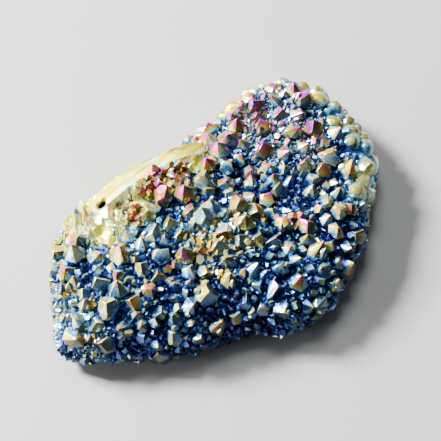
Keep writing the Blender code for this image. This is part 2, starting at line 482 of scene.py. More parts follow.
@dataclass(frozen=True)
class Ledge:
    """The block of bare, broken quartz along the far edge."""

    corners: tuple[Triple, ...] = (
        (-27.5, 24.0, 15.5), (-17.6, 25.0, 17.2), (-8.5, 24.0, 18.0), (1.0, 21.8, 18.2), (10.0, 18.4, 17.4),
        (8.0, 15.5, 17.0), (-2.0, 16.8, 17.8), (-9.8, 17.0, 17.4), (-17.6, 13.6, 15.8), (-23.5, 10.0, 11.2),
        (-28.6, 12.4, 10.4), (-32.5, 18.0, 10.8), (-31.0, 22.5, 7.0), (-22.0, 24.0, 6.0), (-2.0, 23.0, 5.0),
        (10.0, 18.5, 5.0), (4.0, 12.0, 5.0), (-22.0, 8.5, 5.0),
    )  # fmt: skip
    spur: tuple[Triple, ...] = (
        (-24.0, 22.6, 14.6), (-19.3, 18.7, 17.2), (-21.6, 14.2, 17.4), (-25.2, 11.6, 16.4),
        (-28.4, 12.9, 14.8), (-29.3, 16.3, 13.6), (-27.2, 21.8, 13.2), (-18.5, 17.0, 9.0),
        (-21.5, 13.0, 9.0), (-25.0, 11.0, 9.0), (-28.8, 12.9, 9.0), (-29.8, 16.5, 9.0), (-27.4, 21.8, 9.0),
    )  # fmt: skip
    grid: float = 0.50
    soften: int = 4
    swell: float = 0.45
    swell_spacing: Triple = (9.0, 4.0, 5.0)
    streak: float = 0.07
    streak_spacing: Triple = (6.0, 0.7, 1.6)
    strip_crest: Triple = (-16.0, 24.9, 0.0085)
    strip_width: float = 5.2
    strip_edge: float = 0.5
    border_width: float = 2.6
    column: float = 2.2
    column_way: Pair = (0.731, -0.682)
    column_spacing: Triple = (1.8, 5.0, 6.0)
    chips: float = 1.0
    chip_spacing: float = 1.9
    step_sink: float = 0.5
    pit: Triple = (-21.6, 21.3, 15.8)
    pit_reach: Pair = (1.15, 0.60)
    pit_depth: float = 1.5
    bare_from: float = -31.0
    bare_middle: float = -4.0
    bare_to: float = 9.0
    bare_edge: float = 15.5
    bare_slant: float = 0.25
    bare_foot: float = 6.0
    claim_reach: float = 1.0
    ragged_spacing: float = 5.0
    raggedness: float = 4.0
    back_from: float = 15.5
    back_full: float = 13.0

    def hull(self) -> bmesh.types.BMesh:
        """The closed hulls of the block and of its spur, together in one bmesh.

        Returns:
            The hulls.
        """
        shape = bmesh.new()
        for corners in (self.corners, self.spur):
            bmesh.ops.convex_hull(shape, input=[shape.verts.new(corner) for corner in corners])
        inside = [vert for vert in shape.verts if not vert.link_faces]
        bmesh.ops.delete(shape, geom=inside, context="VERTS")
        bmesh.ops.recalc_face_normals(shape, faces=shape.faces)
        return shape

    def surface(self) -> BVHTree:
        """The searchable hulls of the block and of its spur."""
        return surface_of(self.hull())

    def block(self) -> Mesh:
        """The hulls on a fine grid, softened, and shaped by swells, broken columns, chips and the pit.

        Returns:
            The mesh of the ledge.
        """
        carrier = new_object("ledge_hull", mesh_from(self.hull(), "ledge_hull"))
        remesh = carrier.modifiers.new("grid", "REMESH")
        remesh.mode = "VOXEL"
        remesh.voxel_size = self.grid
        remesh.adaptivity = 0.0
        carrier.modifiers.new("soften", "SMOOTH").iterations = self.soften
        data = evaluated(carrier)
        along, aside = self.column_way
        depths = []
        for vert, normal in zip(data.vertices, read(data.vertex_normals, "vector", 3)):
            x, y, z = vert.co
            pit, rough = self.pit_share(vert.co), self.rough_share(vert.co)
            across = Vector((x * along + y * aside, y * along - x * aside, z))
            ragged = across + noise.noise_vector(across / self.swell_spacing[0]) * self.chip_spacing
            rise = self.swell * noise.noise(spaced(vert.co, self.swell_spacing))
            rise += (1.0 - rough) * self.streak * noise.noise(spaced(vert.co, self.streak_spacing))
            rise += rough * self.column * self.step(ragged, self.column_spacing)
            rise += rough * self.chips * self.step(ragged, (self.chip_spacing,) * 3)
            vert.co += Vector(normal) * rise - UP * self.pit_depth * pit
            depths.append((rough, (1.0 - rough) * self.border_share(vert.co), pit))
        mark(data, Kind.LEDGE, np.random.default_rng(SEED), np.array(depths))
        return data

    def step(self, spot: Vector, spacing: Triple) -> float:
        """How far the column or chip at a point stands out, from -1.5 to 0.5 of its size."""
        return noise.cell(spaced(spot, spacing)) - self.step_sink

    def beyond_strip(self, spot: Vector) -> float:
        """How far a point lies on the near side of the smooth strip's inner edge."""
        middle, crest, bend = self.strip_crest
        return crest - bend * (spot.x - middle) ** 2 - self.strip_width - spot.y

    def border_share(self, spot: Vector) -> float:
        """How far a point belongs to the paler inner border of the strip, from 0 to 1."""
        return eased(self.beyond_strip(spot), -self.border_width, 0.0)

    def rough_share(self, spot: Vector) -> float:
        """How far a point lies on the rough near or far face, from 0 on the smooth strip to 1."""
        far_face = eased(self.back_from - spot.z, 0.0, self.back_from - self.back_full)
        return max(eased(self.beyond_strip(spot), -self.strip_edge, self.strip_edge), far_face)

    def pit_share(self, spot: Vector) -> float:
        """How deep in the pit a point is, from 0 outside it to 1 at its middle."""
        away, (length, width) = spot - Vector(self.pit), self.pit_reach
        return math.exp(-((away.x / length) ** 2) - (away.y / width) ** 2)

    def covers(self, spot: Vector) -> bool:
        """True where the ledge leaves no room for the solid's crystals."""
        near_edge = self.bare_edge - self.bare_slant * abs(spot.x - self.bare_middle)
        return self.bare_from < spot.x < self.bare_to and spot.y > near_edge

    def claims(self, spot: Vector, surface: BVHTree) -> bool:
        """Whether the slab is broken quartz too at a point: under the ledge, close beside it or behind it.

        Args:
            spot: The point of the slab.
            surface: The ledge's surface.

        Returns:
            True where it is.
        """
        if not self.covers(spot) or spot.z < self.bare_foot:
            return False
        nearest, outward, _, distance = surface.find_nearest(spot)
        away = spot - nearest
        return away.dot(outward) < 0.0 or distance < self.claim_reach or away.y > distance / 2

    def claim(self, slab: Mesh) -> None:
        """Turns the faces of the slab around the ledge into broken quartz.

        Args:
            slab: The slab's mesh.
        """
        surface = self.surface()
        broken: set[int] = set()
        for face, value in zip(slab.polygons, slab.attributes["kind"].data):
            ragged = face.center + noise.noise_vector(face.center / self.ragged_spacing) * self.raggedness
            if self.claims(ragged, surface):
                value.value = Kind.LEDGE.value
                broken.update(face.vertices)
        for number in broken:
            vert = slab.vertices[number]
            vert.co += vert.normal * self.chips * self.step(vert.co, (self.chip_spacing,) * 3)


@dataclass(frozen=True)
class PointShape:
    """A quartz point in units of its own radius, along +Z with its shoulder at 0."""

    tip: Tip
    drift: Vector
    widen: float
    tip_height: float = 1.1
    ridge_height: float = 0.55
    root_depth: float = 1.5
    worn_edge: float = 0.035
    lowest_worn: float = -0.1
    rounding: int = 2
    softness: float = 0.5

    def corner(
        self, shape: bmesh.types.BMesh, side: float, reach: float, height: float
    ) -> bmesh.types.BMVert:
        """Adds one corner.

        Args:
            shape: What it is added to.
            side: Its place around the point, in sixths of a turn.
            reach: How far it stands from the axis.
            height: Its height over the shoulder.

        Returns:
            The corner.
        """
        turn = math.tau * side / 6
        spot = Vector((math.cos(turn) * reach * self.widen, math.sin(turn) * reach / self.widen, height))
        return shape.verts.new(spot + self.drift * max(height, 0.0) / self.tip_height)

    def solid(self) -> bmesh.types.BMesh:
        """The closed point, with six tip faces or three.

        Returns:
            The point.
        """
        shape = bmesh.new()
        roots = [self.corner(shape, side, 1.0, -self.root_depth) for side in range(6)]
        shoulders = [self.corner(shape, side, 1.0, 0.0) for side in range(6)]
        tip = self.corner(shape, 0, 0.0, self.tip_height)
        ridged = (0, 2, 4) if self.tip is Tip.THREE_FACED else ()
        apothem = math.cos(math.pi / 6)
        ridges = {side: self.corner(shape, side + 0.5, apothem, self.ridge_height) for side in ridged}
        shape.faces.new(reversed(roots))
        for side in range(6):
            after = (side + 1) % 6
            wall = [roots[side], roots[after], shoulders[after]]
            shape.faces.new(wall + ([ridges[side]] if side in ridges else []) + [shoulders[side]])
            if not ridges:
                shape.faces.new((shoulders[side], shoulders[after], tip))
            elif side not in ridges:
                shape.faces.new((ridges[side - 1], shoulders[side], shoulders[after], ridges[after], tip))
        return shape

    def mesh(self, name: str, cut: Cut, tones: np.random.Generator) -> Mesh:
        """One version of the point.

        Args:
            name: The mesh's name.
            cut: How its edges are finished.
            tones: Where the facets' tones are drawn from.

        Returns:
            The mesh.
        """
        shape = self.solid()
        if cut is Cut.BEVELLED:
            edges = [edge for edge in shape.edges if max(vert.co.z for vert in edge.verts) > self.lowest_worn]
            bmesh.ops.bevel(shape, geom=edges, offset=self.worn_edge, segments=1, profile=0.5, affect="EDGES")
        elif cut is Cut.ROUNDED:
            bmesh.ops.triangulate(shape, faces=shape.faces)
            bmesh.ops.subdivide_edges(shape, edges=shape.edges, cuts=1, use_grid_fill=True)
            upper = [vert for vert in shape.verts if vert.co.z > -self.tip_height]
            axes = {f"use_axis_{axis}": True for axis in "xyz"}
            for _ in range(self.rounding):
                bmesh.ops.smooth_vert(shape, verts=upper, factor=self.softness, **axes)
        data = mesh_from(shape, name)
        local = np.array([vert.co for vert in data.vertices])
        if cut is Cut.BROKEN:
            local[:] = (1.0, 0.0, 0.0)
        kind = {Cut.ROUNDED: Kind.WORN, Cut.BROKEN: Kind.LEDGE}.get(cut, Kind.CRYSTAL)
        mark(data, kind, tones, local)
        return data


class Ground:
    """The slab's growth surface, where spots for crystals are drawn."""

    def __init__(self, slab: Slab) -> None:
        """Reads the surface's triangles and the area of all of them up to each.

        Args:
            slab: The slab.
        """
        shape = slab.growth_surface()
        self.triangles = [tuple(vert.co.copy() for vert in face.verts) for face in shape.faces]
        self.running_area = list(accumulate(face.calc_area() for face in shape.faces))
        self.surface = surface_of(shape)

    def spot(self, chance: random.Random) -> tuple[Vector, Vector]:
        """Draws a point on the slab, evenly spread over its area.

        Args:
            chance: What it is drawn from.

        Returns:
            The point and the way out of the slab there.
        """
        pick = chance.random() * self.running_area[-1]
        a, b, c = self.triangles[bisect_left(self.running_area, pick, 0, len(self.triangles) - 1)]
        root, share = math.sqrt(chance.random()), chance.random()
        spot = a * (1 - root) + b * (root * (1 - share)) + c * (root * share)
        return spot, (b - a).cross(c - a).normalized()


def has_room(spot: Vector, radius: float, others: Sequence[Place], packing: float) -> bool:
    """Whether a crystal fits beside others.

    Args:
        spot: Its foot.
        radius: Its radius.
        others: The others.
        packing: How far apart two of them stay, as a share of their radii together.

    Returns:
        True if it does.
    """
    return all((spot - other.foot).length >= packing * (radius + other.radius) for other in others)


@dataclass
class CrystalPlan:
    """Where every crystal stands: the solid's first, by the solid's own rules, then the smaller ones."""

    slab: Slab
    ledge: Ledge
    shapes: int = 16
    three_faced: tuple[int, ...] = (1, 2, 4, 7, 8, 10, 13, 14)
    tip_drift: float = 0.26
    flattening: float = 0.17
    root_depth: float = PointShape.root_depth
    main: tuple[Triple, ...] = (
        (-20.5, -15.5, 3.2), (38.5, -16.0, 3.0), (42.5, 9.0, 2.9), (-28.5, 6.0, 3.0), (44.0, -9.5, 2.9),
        (-0.5, -7.5, 2.9), (29.5, -7.5, 2.8), (-1.5, -27.5, 2.8), (-2.5, 1.5, 2.8), (34.5, -12.5, 2.7),
        (20.0, 6.0, 2.7), (3.5, -19.5, 2.7), (17.0, 1.5, 2.7), (-36.5, 4.0, 2.7), (44.5, -3.5, 2.7),
        (40.0, 1.0, 2.7), (6.5, -2.5, 2.6), (34.0, 8.0, 2.6), (11.0, -18.0, 2.6), (33.5, 2.0, 2.6),
        (28.5, 5.0, 2.6), (23.0, 1.5, 2.6), (-40.5, 9.0, 2.6), (-21.5, -0.5, 2.6), (38.5, 14.5, 2.5),
        (5.0, 5.0, 2.5), (19.0, -11.5, 2.5), (30.5, 11.5, 2.5), (30.5, -13.0, 2.5), (-14.5, -23.0, 2.5),
        (29.5, -18.5, 2.5), (23.5, -5.5, 2.4), (9.0, 9.0, 2.4), (-14.0, -16.0, 2.4), (24.0, -16.0, 2.4),
        (-34.0, -5.5, 2.4), (-30.0, -15.0, 2.4), (13.5, -6.0, 2.4), (20.0, -20.0, 2.4), (-7.0, 4.5, 2.4),
        (15.5, -23.5, 2.4), (7.0, -14.0, 2.4), (24.5, 11.0, 2.4), (6.0, -29.5, 2.4), (-14.0, 0.5, 2.4),
        (17.5, 11.0, 2.2), (13.5, 8.5, 2.2), (27.5, -0.5, 2.2), (-2.5, -22.5, 2.2), (-27.0, -0.5, 2.2),
        (-44.0, -3.5, 2.2), (-37.0, -11.5, 2.2), (-42.5, 2.0, 2.2), (-24.0, -9.0, 2.2), (-29.5, -5.5, 2.2),
        (10.5, 1.5, 2.2), (17.5, -5.5, 2.2), (-9.5, -22.0, 2.1), (-16.5, -11.0, 2.1), (-33.5, -11.0, 2.1),
    )  # fmt: skip
    limit: int = 214
    wall_chance: float = 0.25
    large: Growth = Growth(
        generations=((2.3, 3.0, 1500), (1.8, 2.4, 5000)), packing=0.76, lean=math.radians(11.0), pull=0.45,
        wall_size=0.70, shoulder=(0.05, 0.75), lowest_foot=4.5, lowest_point=0.8,
    )  # fmt: skip
    small: Growth = Growth(
        generations=((1.1, 1.6, 2600), (0.7, 1.1, 4200)), packing=0.68, lean=math.radians(16.0), pull=0.3,
        wall_size=0.80, shoulder=(0.1, 0.7), lowest_foot=1.6, lowest_point=0.5,
    )  # fmt: skip
    worn_from: float = 0.40
    worn_width: float = 1.28
    worn_height: float = 1.05
    rim_lumps: Tries = (1.7, 2.7, 1500)
    rim_packing: float = 0.58
    lowest_lump: float = 2.8
    parallel_share: float = 0.6
    parallel_size: Pair = (0.28, 0.50)
    parallel_reach: Pair = (0.55, 0.95)
    parallel_rise: Pair = (-0.25, 0.35)
    parallel_most: int = 3
    druses: tuple[Druse, ...] = (
        Druse(-9.2, -6.7, 11.5, 4.6, math.radians(-54.0), 500, 0.6, 1.25),
        Druse(-5.6, 16.2, 8.0, 2.7, math.radians(-16.0), 420, 0.55, 1.35),
        Druse(-19.0, 12.5, 4.0, 2.0, math.radians(35.0), 120, 0.5, 1.0),
    )
    druse_shoulder: Pair = (0.3, 1.3)
    druse_stretch: float = 1.35
    shard_field: Druse = Druse(-29.4, 20.2, 6.0, 3.2, math.radians(47.0), 180, 0.75, 1.45, 0.55)
    shard_sink: float = 0.4
    shard_stretch: Pair = (1.5, 2.7)
    shard_axis: Triple = (0.22, 0.30, 0.93)
    chance: random.Random = field(default_factory=lambda: random.Random(SEED))

    def __post_init__(self) -> None:
        """Reads the surfaces that the crystals stand on."""
        self.ground, self.ledge_surface = Ground(self.slab), self.ledge.surface()

    def draw_shapes(self) -> list[PointShape]:
        """The shapes that the crystals are picked from.

        Returns:
            The shapes, in order.
        """
        made = []
        for number in range(self.shapes):
            drift = [self.chance.uniform(-self.tip_drift, self.tip_drift) for _ in range(2)]
            widen = 1.0 + self.chance.uniform(-self.flattening, self.flattening)
            tip = Tip.THREE_FACED if number in self.three_faced else Tip.SIX_FACED
            made.append(PointShape(tip, Vector((*drift, 0.0)), widen))
        return made

    def leaning(self, way: Vector, spread: float) -> Vector:
        """Draws a direction near another, at the usual angle to it."""
        lean = Vector([self.chance.gauss(0.0, math.tan(spread)) for _ in range(3)])
        return (way + lean).normalized()

    def varied(self, place: Place, spread: float, shoulders: Optional[Pair] = None) -> Place:
        """Draws a crystal's lean, shape, turn and shoulder.

        Args:
            place: The crystal, with its axis before it leans.
            spread: The usual angle that it leans by.
            shoulders: The lowest and highest place of its shoulder, in radii, unless it is at the foot.

        Returns:
            The crystal as drawn.
        """
        axis = self.leaning(place.axis, spread)
        shape, turn = self.chance.randrange(self.shapes), self.chance.uniform(0.0, math.tau)
        shoulder = self.chance.uniform(*shoulders) * place.radius if shoulders else 0.0
        return place._replace(axis=axis, shape=shape, turn=turn, shoulder=shoulder)

    def lowest_corner(self, place: Place) -> float:
        """Height of a crystal's lowest corner over the table."""
        root = place.foot.z + (place.shoulder - self.root_depth * place.radius) * place.axis.z
        return root - place.radius * math.sqrt(1.0 - place.axis.z**2)

    def stands_clear(self, place: Place) -> bool:
        """True where a small crystal keeps clear of the table, even if its section is at its widest."""
        wide = place._replace(radius=place.radius * (1.0 + self.flattening))
        return self.lowest_corner(wide) > self.small.lowest_point

    def tries(self, generations: Sequence[Tries]) -> Iterator[tuple[Vector, Vector, float]]:
        """Draws spots all over the slab.

        Args:
            generations: The smallest and largest radius of each generation, and how many are tried.

        Yields:
            A spot, the way out of the slab there and a radius.
        """
        for smallest, largest, count in generations:
            for _ in range(count):
                yield *self.ground.spot(self.chance), self.chance.uniform(smallest, largest)

    def large_crystals(self) -> list[Place]:
        """The solid's crystals: the listed ones first, then the scattered ones.

        Returns:
            Their places.
        """
        made: list[Place] = []
        for x, y, radius in self.main:
            spot, outward, _, _ = self.ground.surface.find_nearest(Vector((x, y, self.slab.height)))
            self.grow(made, spot, outward, radius)
        for spot, outward, radius in self.tries(self.large.generations):
            rooted = self.chance.random() < self.wall_chance + (1.0 - self.wall_chance) * max(outward.z, 0.0)
            room = len(made) < self.limit and spot.z > self.large.lowest_foot
            if rooted and room and not self.ledge.covers(spot):
                self.grow(made, spot, outward, radius)
        return made

    def grow(self, made: list[Place], spot: Vector, outward: Vector, radius: float) -> None:
        """Adds one of the solid's crystals, unless it is too near another one or the table.

        Args:
            made: Those so far.
            spot: Where it stands on the slab.
            outward: The way out of the slab there.
            radius: Its radius on level ground.
        """
        rules = self.large
        radius = rules.sized(radius, outward)
        if not has_room(spot, radius, made, rules.packing):
            return
        place = Place(
            spot,
            self.leaning(outward.lerp(UP, rules.pull), rules.lean),
            radius,
            shoulder=self.chance.uniform(*rules.shoulder) * max(outward.z, 0.0) * radius,
            shape=self.chance.randrange(self.shapes),
            turn=self.chance.uniform(0.0, math.tau),
        )
        if self.lowest_corner(place) > rules.lowest_point:
            made.append(place)

    def worn_points(self) -> list[Place]:
        """The rounded lumps that stand close together along the worn far rim.

        Returns:
            Their places.
        """
        made: list[Place] = []
        for spot, outward, radius in self.tries((self.rim_lumps,)):
            worn = self.slab.rim_share(spot) >= self.worn_from and spot.z >= self.lowest_lump
            if worn and has_room(spot, radius, made, self.rim_packing):
                lump = Place(spot, outward, radius, Cut.ROUNDED, self.worn_height / self.worn_width)
                lump = self.varied(lump, self.small.lean)
                if self.stands_clear(lump):
                    made.append(lump)
        return made

    def small_crystals(self, large: Sequence[Place]) -> list[Place]:
        """The smaller crystals that fill the room between the solid's.

        Args:
            large: The solid's crystals.

        Returns:
            The smaller ones.
        """
        rules, made = self.small, []
        feet = np.array([place.foot for place in large])
        radii = np.array([place.radius for place in large])
        for spot, outward, radius in self.tries(rules.generations):
            radius = rules.sized(radius, outward)
            worn = self.slab.rim_share(spot) > self.chance.random()
            apart = np.linalg.norm(feet - np.array(spot), axis=1)
            crowded = (apart < rules.packing * (radii + radius)).any()
            if crowded or worn or spot.z < rules.lowest_foot or self.ledge.claims(spot, self.ledge_surface):
                continue
            upright = Place(spot, outward.lerp(UP, rules.pull), radius, Cut.PLAIN)
            place = self.varied(upright, rules.lean, rules.shoulder)
            if self.stands_clear(place):
                made.append(place)
                feet, radii = np.vstack([feet, spot]), np.append(radii, radius)
        return made

    def rounded(self, place: Place) -> Place:
        """A crystal of the solid, wider and with a rounded shape if it is on the worn far rim.

        Args:
            place: The crystal.

        Returns:
            The crystal as it stands in the crust.
        """
        if self.slab.rim_share(place.foot) <= self.worn_from:
            return place
        stretch = self.worn_height / self.worn_width
        return place._replace(cut=Cut.ROUNDED, radius=place.radius * self.worn_width, stretch=stretch)

    def parallel_growth(self, large: Sequence[Place]) -> list[Place]:
        """Small points on the large ones' flanks, each parallel to the one it grows on.

        Args:
            large: The large ones.

        Returns:
            The small ones.
        """
        made = []
        for place in large:
            if self.chance.random() > self.parallel_share or place.cut is Cut.ROUNDED:
                continue
            stand = place.axis.to_track_quat("Z", "Y").to_matrix()
            for _ in range(self.chance.randint(1, self.parallel_most)):
                way = self.chance.uniform(0.0, math.tau)
                reach = self.chance.uniform(*self.parallel_reach) * place.radius
                rise = self.chance.uniform(*self.parallel_rise) * place.radius
                point = Place(
                    place.foot + stand @ polar(way, (reach, reach)),
                    place.axis,
                    place.radius * self.chance.uniform(*self.parallel_size),
                    shape=self.chance.randrange(self.shapes),
                    turn=place.turn + math.tau / 6 * self.chance.randrange(6),
                    shoulder=place.shoulder + rise,
                )
                if self.stands_clear(point):
                    made.append(point)
        return made

    def spots_of(self, druse: Druse) -> list[Place]:
        """Spots on the slab or the ledge inside a patch, with room between them.

        Args:
            druse: The patch.

        Returns:
            A point at each spot, straight out of the surface there.
        """
        made: list[Place] = []
        for _ in range(druse.tries):
            way, reach = self.chance.uniform(0.0, math.tau), math.sqrt(self.chance.random())
            aside = polar(way, (reach * druse.length, reach * druse.width))
            aside.rotate(Matrix.Rotation(druse.turn, 3, "Z"))
            above = Vector((druse.x, druse.y, 2 * self.slab.height)) + aside
            hits = [surface.ray_cast(above, -UP) for surface in (self.ground.surface, self.ledge_surface)]
            spot, outward, _, _ = min((hit for hit in hits if hit[0]), key=lambda hit: hit[3])
            radius = self.chance.uniform(druse.smallest, druse.largest)
            if has_room(spot, radius, made, druse.packing):
                made.append(Place(spot, outward, radius, Cut.PLAIN, self.druse_stretch))
        return made

    def druse_points(self) -> list[Place]:
        """The patches of small points that stand close together on the slab and along the ledge."""
        spots = (spot for druse in self.druses for spot in self.spots_of(druse))
        return [self.varied(spot, self.small.lean, self.druse_shoulder) for spot in spots]

    def shard_points(self) -> list[Place]:
        """The broken columns at the ledge's left end.

        Returns:
            Their places.
        """
        made = []
        for spot in self.spots_of(self.shard_field):
            upright = spot._replace(axis=Vector(self.shard_axis), cut=Cut.BROKEN)
            shard = self.varied(upright, self.large.lean)
            foot = shard.foot - shard.axis * self.shard_sink
            made.append(shard._replace(foot=foot, stretch=self.chance.uniform(*self.shard_stretch)))
        return made


def standing(place: Place) -> Matrix:
    """The matrix that stands a unit point at its place.

    Args:
        place: The place.

    Returns:
        The matrix.
    """
    return (
        Matrix.Translation(place.foot + place.axis * place.shoulder)
        @ place.axis.to_track_quat("Z", "Y").to_matrix().to_4x4()
        @ Matrix.Rotation(place.turn, 4, "Z")
        @ Matrix.Diagonal((place.radius, place.radius, place.radius * place.stretch, 1.0))
    )


class Sheet:
    """Builds one node tree, of geometry or of a material."""

    def __init__(self, tree: bpy.types.NodeTree) -> None:
        """Wraps a tree."""
        self.tree = tree

    def add(self, kind: str, inputs: Optional[dict] = None, out: object = 0, **settings: object) -> Socket:
        """Adds a node.

        Args:
            kind: The node's type.
            inputs: A value or a socket to link for each input, by name or number.
            out: The name or number of the output that is taken.
            settings: The node's own settings.

        Returns:
            The output.
        """
        node = self.tree.nodes.new(kind)
        for name, value in settings.items():
            setattr(node, name, value)
        for key, value in (inputs or {}).items():
            self.feed(node.inputs[key], value)
        return node.outputs[out]

    def feed(self, socket: Socket, value: object) -> None:
        """Links an input to another node's output, or sets its value.

        Args:
            socket: The input.
            value: The output or the value.
        """
        if isinstance(value, Socket):
            self.tree.links.new(value, socket)
        else:
            socket.default_value = value

    def math(self, operation: str, *values: object) -> Socket:
        """The result of a Math node."""
        return self.add("ShaderNodeMath", dict(enumerate(values)), operation=operation)


class GeometryTree(Sheet):
    """A Geometry Nodes tree with a named input for each value, which runs once on a carrier."""

    name: str
    kinds: dict[type, str] = {
        float: "Float",
        int: "Int",
        bpy.types.Object: "Object",
        bpy.types.Collection: "Collection",
        bpy.types.Material: "Material",
    }

    def __init__(self, values: dict[str, object]) -> None:
        """Makes the tree.

        Args:
            values: The value of each named input, its shapes among them.
        """
        super().__init__(bpy.data.node_groups.new(self.name, "GeometryNodeTree"))
        self.values = values
        face = self.tree.interface
        face.new_socket("Geometry", in_out="INPUT", socket_type="NodeSocketGeometry")
        for name, value in values.items():
            face.new_socket(name, in_out="INPUT", socket_type="NodeSocket" + self.kinds[type(value)])
        face.new_socket("Geometry", in_out="OUTPUT", socket_type="NodeSocketGeometry")
        self.given = self.tree.nodes.new("NodeGroupInput").outputs

    def surface(self) -> Socket:
        """The surface that the tree makes."""
        raise NotImplementedError

    def stored(self, name: str, kind: str) -> Socket:
        """The value of a stored attribute of one data type."""
        return self.add("GeometryNodeInputNamedAttribute", {"Name": name}, data_type=kind)

    def joined(self, points: dict[str, object], blocks: Sequence[str] = ()) -> Socket:
        """Stands a shape at each point and joins them all.

        Args:
            points: The points, and what decides each one's shape, turn and size.
            blocks: The inputs that hold an object to join too.

        Returns:
            One surface, with its instances realized.
        """
        shapes = {"Collection": self.given["Shapes"], "Separate Children": True, "Reset Children": True}
        stock = self.add("GeometryNodeCollectionInfo", shapes)
        inputs = {"Instance": stock, "Pick Instance": True, **points}
        planted = self.add("GeometryNodeInstanceOnPoints", inputs)
        joined = self.add("GeometryNodeMeshBoolean", operation="UNION", solver="MANIFOLD")
        bodies = [self.add("GeometryNodeObjectInfo", {0: self.given[block]}, "Geometry") for block in blocks]
        for body in (planted, *bodies):
            self.feed(joined.node.inputs["Mesh 2"], body)
        return self.add("GeometryNodeRealizeInstances", {0: joined})

    def run(self, carrier: bpy.types.Object) -> Mesh:
        """Builds the tree and runs it.

        Args:
            carrier: The object that it runs on, which is removed afterwards.

        Returns:
            The result as a plain mesh.
        """
        self.feed(self.tree.nodes.new("NodeGroupOutput").inputs[0], self.surface())
        modifier = carrier.modifiers.new(self.name, "NODES")
        modifier.node_group = self.tree
        for item in self.tree.interface.items_tree:
            if item.in_out == "INPUT" and item.name in self.values:
                modifier[item.identifier] = self.values[item.name]
        return evaluated(carrier)


class CrustTree(GeometryTree):
    """Stands a shape at each point and joins all of them with the slab and the ledge."""

    name = "crystal_crust"
    near_kind: float = 0.1

    def surface(self) -> Socket:
        """The stone's surface: coated, bare and broken on the ledge, and sawn at the foot.

        Returns:
            The dressed surface.
        """
        points = {
            "Points": self.given["Geometry"],
            "Instance Index": self.stored("shape", "INT"),
            "Rotation": self.stored("turn", "FLOAT_VECTOR"),
            "Scale": self.stored("size", "FLOAT_VECTOR"),
        }
        dressed = self.joined(points, ("Slab", "Ledge"))
        kind = {0: self.stored("kind", "FLOAT"), 1: float(Kind.LEDGE.value), "Epsilon": self.near_kind}
        broken = self.add("FunctionNodeCompare", kind, operation="EQUAL")
        height = self.add("ShaderNodeSeparateXYZ", {0: self.add("GeometryNodeInputPosition")}, "Z")
        low = self.add("FunctionNodeCompare", {0: height, 1: self.given["Foot"]}, operation="LESS_THAN")
        for chosen, finish in ((True, "Coating"), (broken, "Break"), (low, "Saw cut")):
            inputs = {"Geometry": dressed, "Selection": chosen, "Material": self.given[finish]}
            dressed = self.add("GeometryNodeSetMaterial", inputs)
        return dressed


class SugarTree(GeometryTree):
    """Strews tiny points over the bare ground of the gaps and joins them."""

    name = "crystal_sugar"

    def surface(self) -> Socket:
        """The points' surface, coated.

        Returns:
            The dressed surface.
        """
        given = self.given
        ground = {
            "Mesh": given["Geometry"],
            "Distance Min": given["Spacing"],
            "Density Max": given["Density"],
            "Density Factor": self.stored("bare", "FLOAT"),
            "Seed": given["Seed"],
        }
        strewn = self.add("GeometryNodeDistributePointsOnFaces", ground, distribute_method="POISSON")
        size = self.drawn("FLOAT", 1, given["Smallest"], given["Largest"])
        backward = self.math("MULTIPLY", given["Lean"], -1.0)
        low = self.add("ShaderNodeCombineXYZ", {"X": backward, "Y": backward, "Z": 0.0})
        high = self.add("ShaderNodeCombineXYZ", {"X": given["Lean"], "Y": given["Lean"], "Z": math.tau})
        lean = self.drawn("FLOAT_VECTOR", 0, low, high)
        turns = {"Rotation": strewn.node.outputs["Rotation"], "Rotate By": lean}
        turn = self.add("FunctionNodeRotateRotation", turns, rotation_space="LOCAL")
        plain = self.joined({"Points": strewn, "Rotation": turn, "Scale": size})
        return self.add("GeometryNodeSetMaterial", {"Geometry": plain, "Material": given["Coating"]})

    def drawn(self, kind: str, number: int, least: Socket, most: Socket) -> Socket:
        """A random value of a data type for each point, from the node's output with that number."""
        inputs = {2 * number: least, 2 * number + 1: most, "Seed": self.given["Seed"]}
        return self.add("FunctionNodeRandomValue", inputs, number, data_type=kind)


def point_cloud(name: str, places: Sequence[Place], shapes: int) -> bpy.types.Object:
    """A carrier with one point for each crystal, and its size, turn and shape as attributes.

    Args:
        name: The carrier's name.
        places: The crystals.
        shapes: How many shapes there are in each cut.

    Returns:
        The carrier.
    """
    data = bpy.data.meshes.new(name)
    data.from_pydata([place.foot + place.axis * place.shoulder for place in places], [], [])
    sizes = [(place.radius, place.radius, place.radius * place.stretch) for place in places]
    put_values(data, "size", np.array(sizes))
    put_values(data, "turn", np.array([standing(place).to_euler() for place in places]))
    put_values(data, "shape", np.array([place.shape + shapes * place.cut.value for place in places]))
    return new_object(name, data)


@contextmanager
def shelf(name: str, meshes: Sequence[Mesh]) -> Iterator[bpy.types.Collection]:
    """A collection of shapes that a tree picks from, which is removed afterwards.

    Args:
        name: The collection's name.
        meshes: The shapes, in order.

    Yields:
        The collection.
    """
    made = bpy.data.collections.new(name)
    bpy.context.scene.collection.children.link(made)
    for number, data in enumerate(meshes):
        made.objects.link(bpy.data.objects.new(f"{name}_{number:02d}", data))
    yield made
    for thing in list(made.objects):
        bpy.data.objects.remove(thing)
    bpy.data.collections.remove(made)


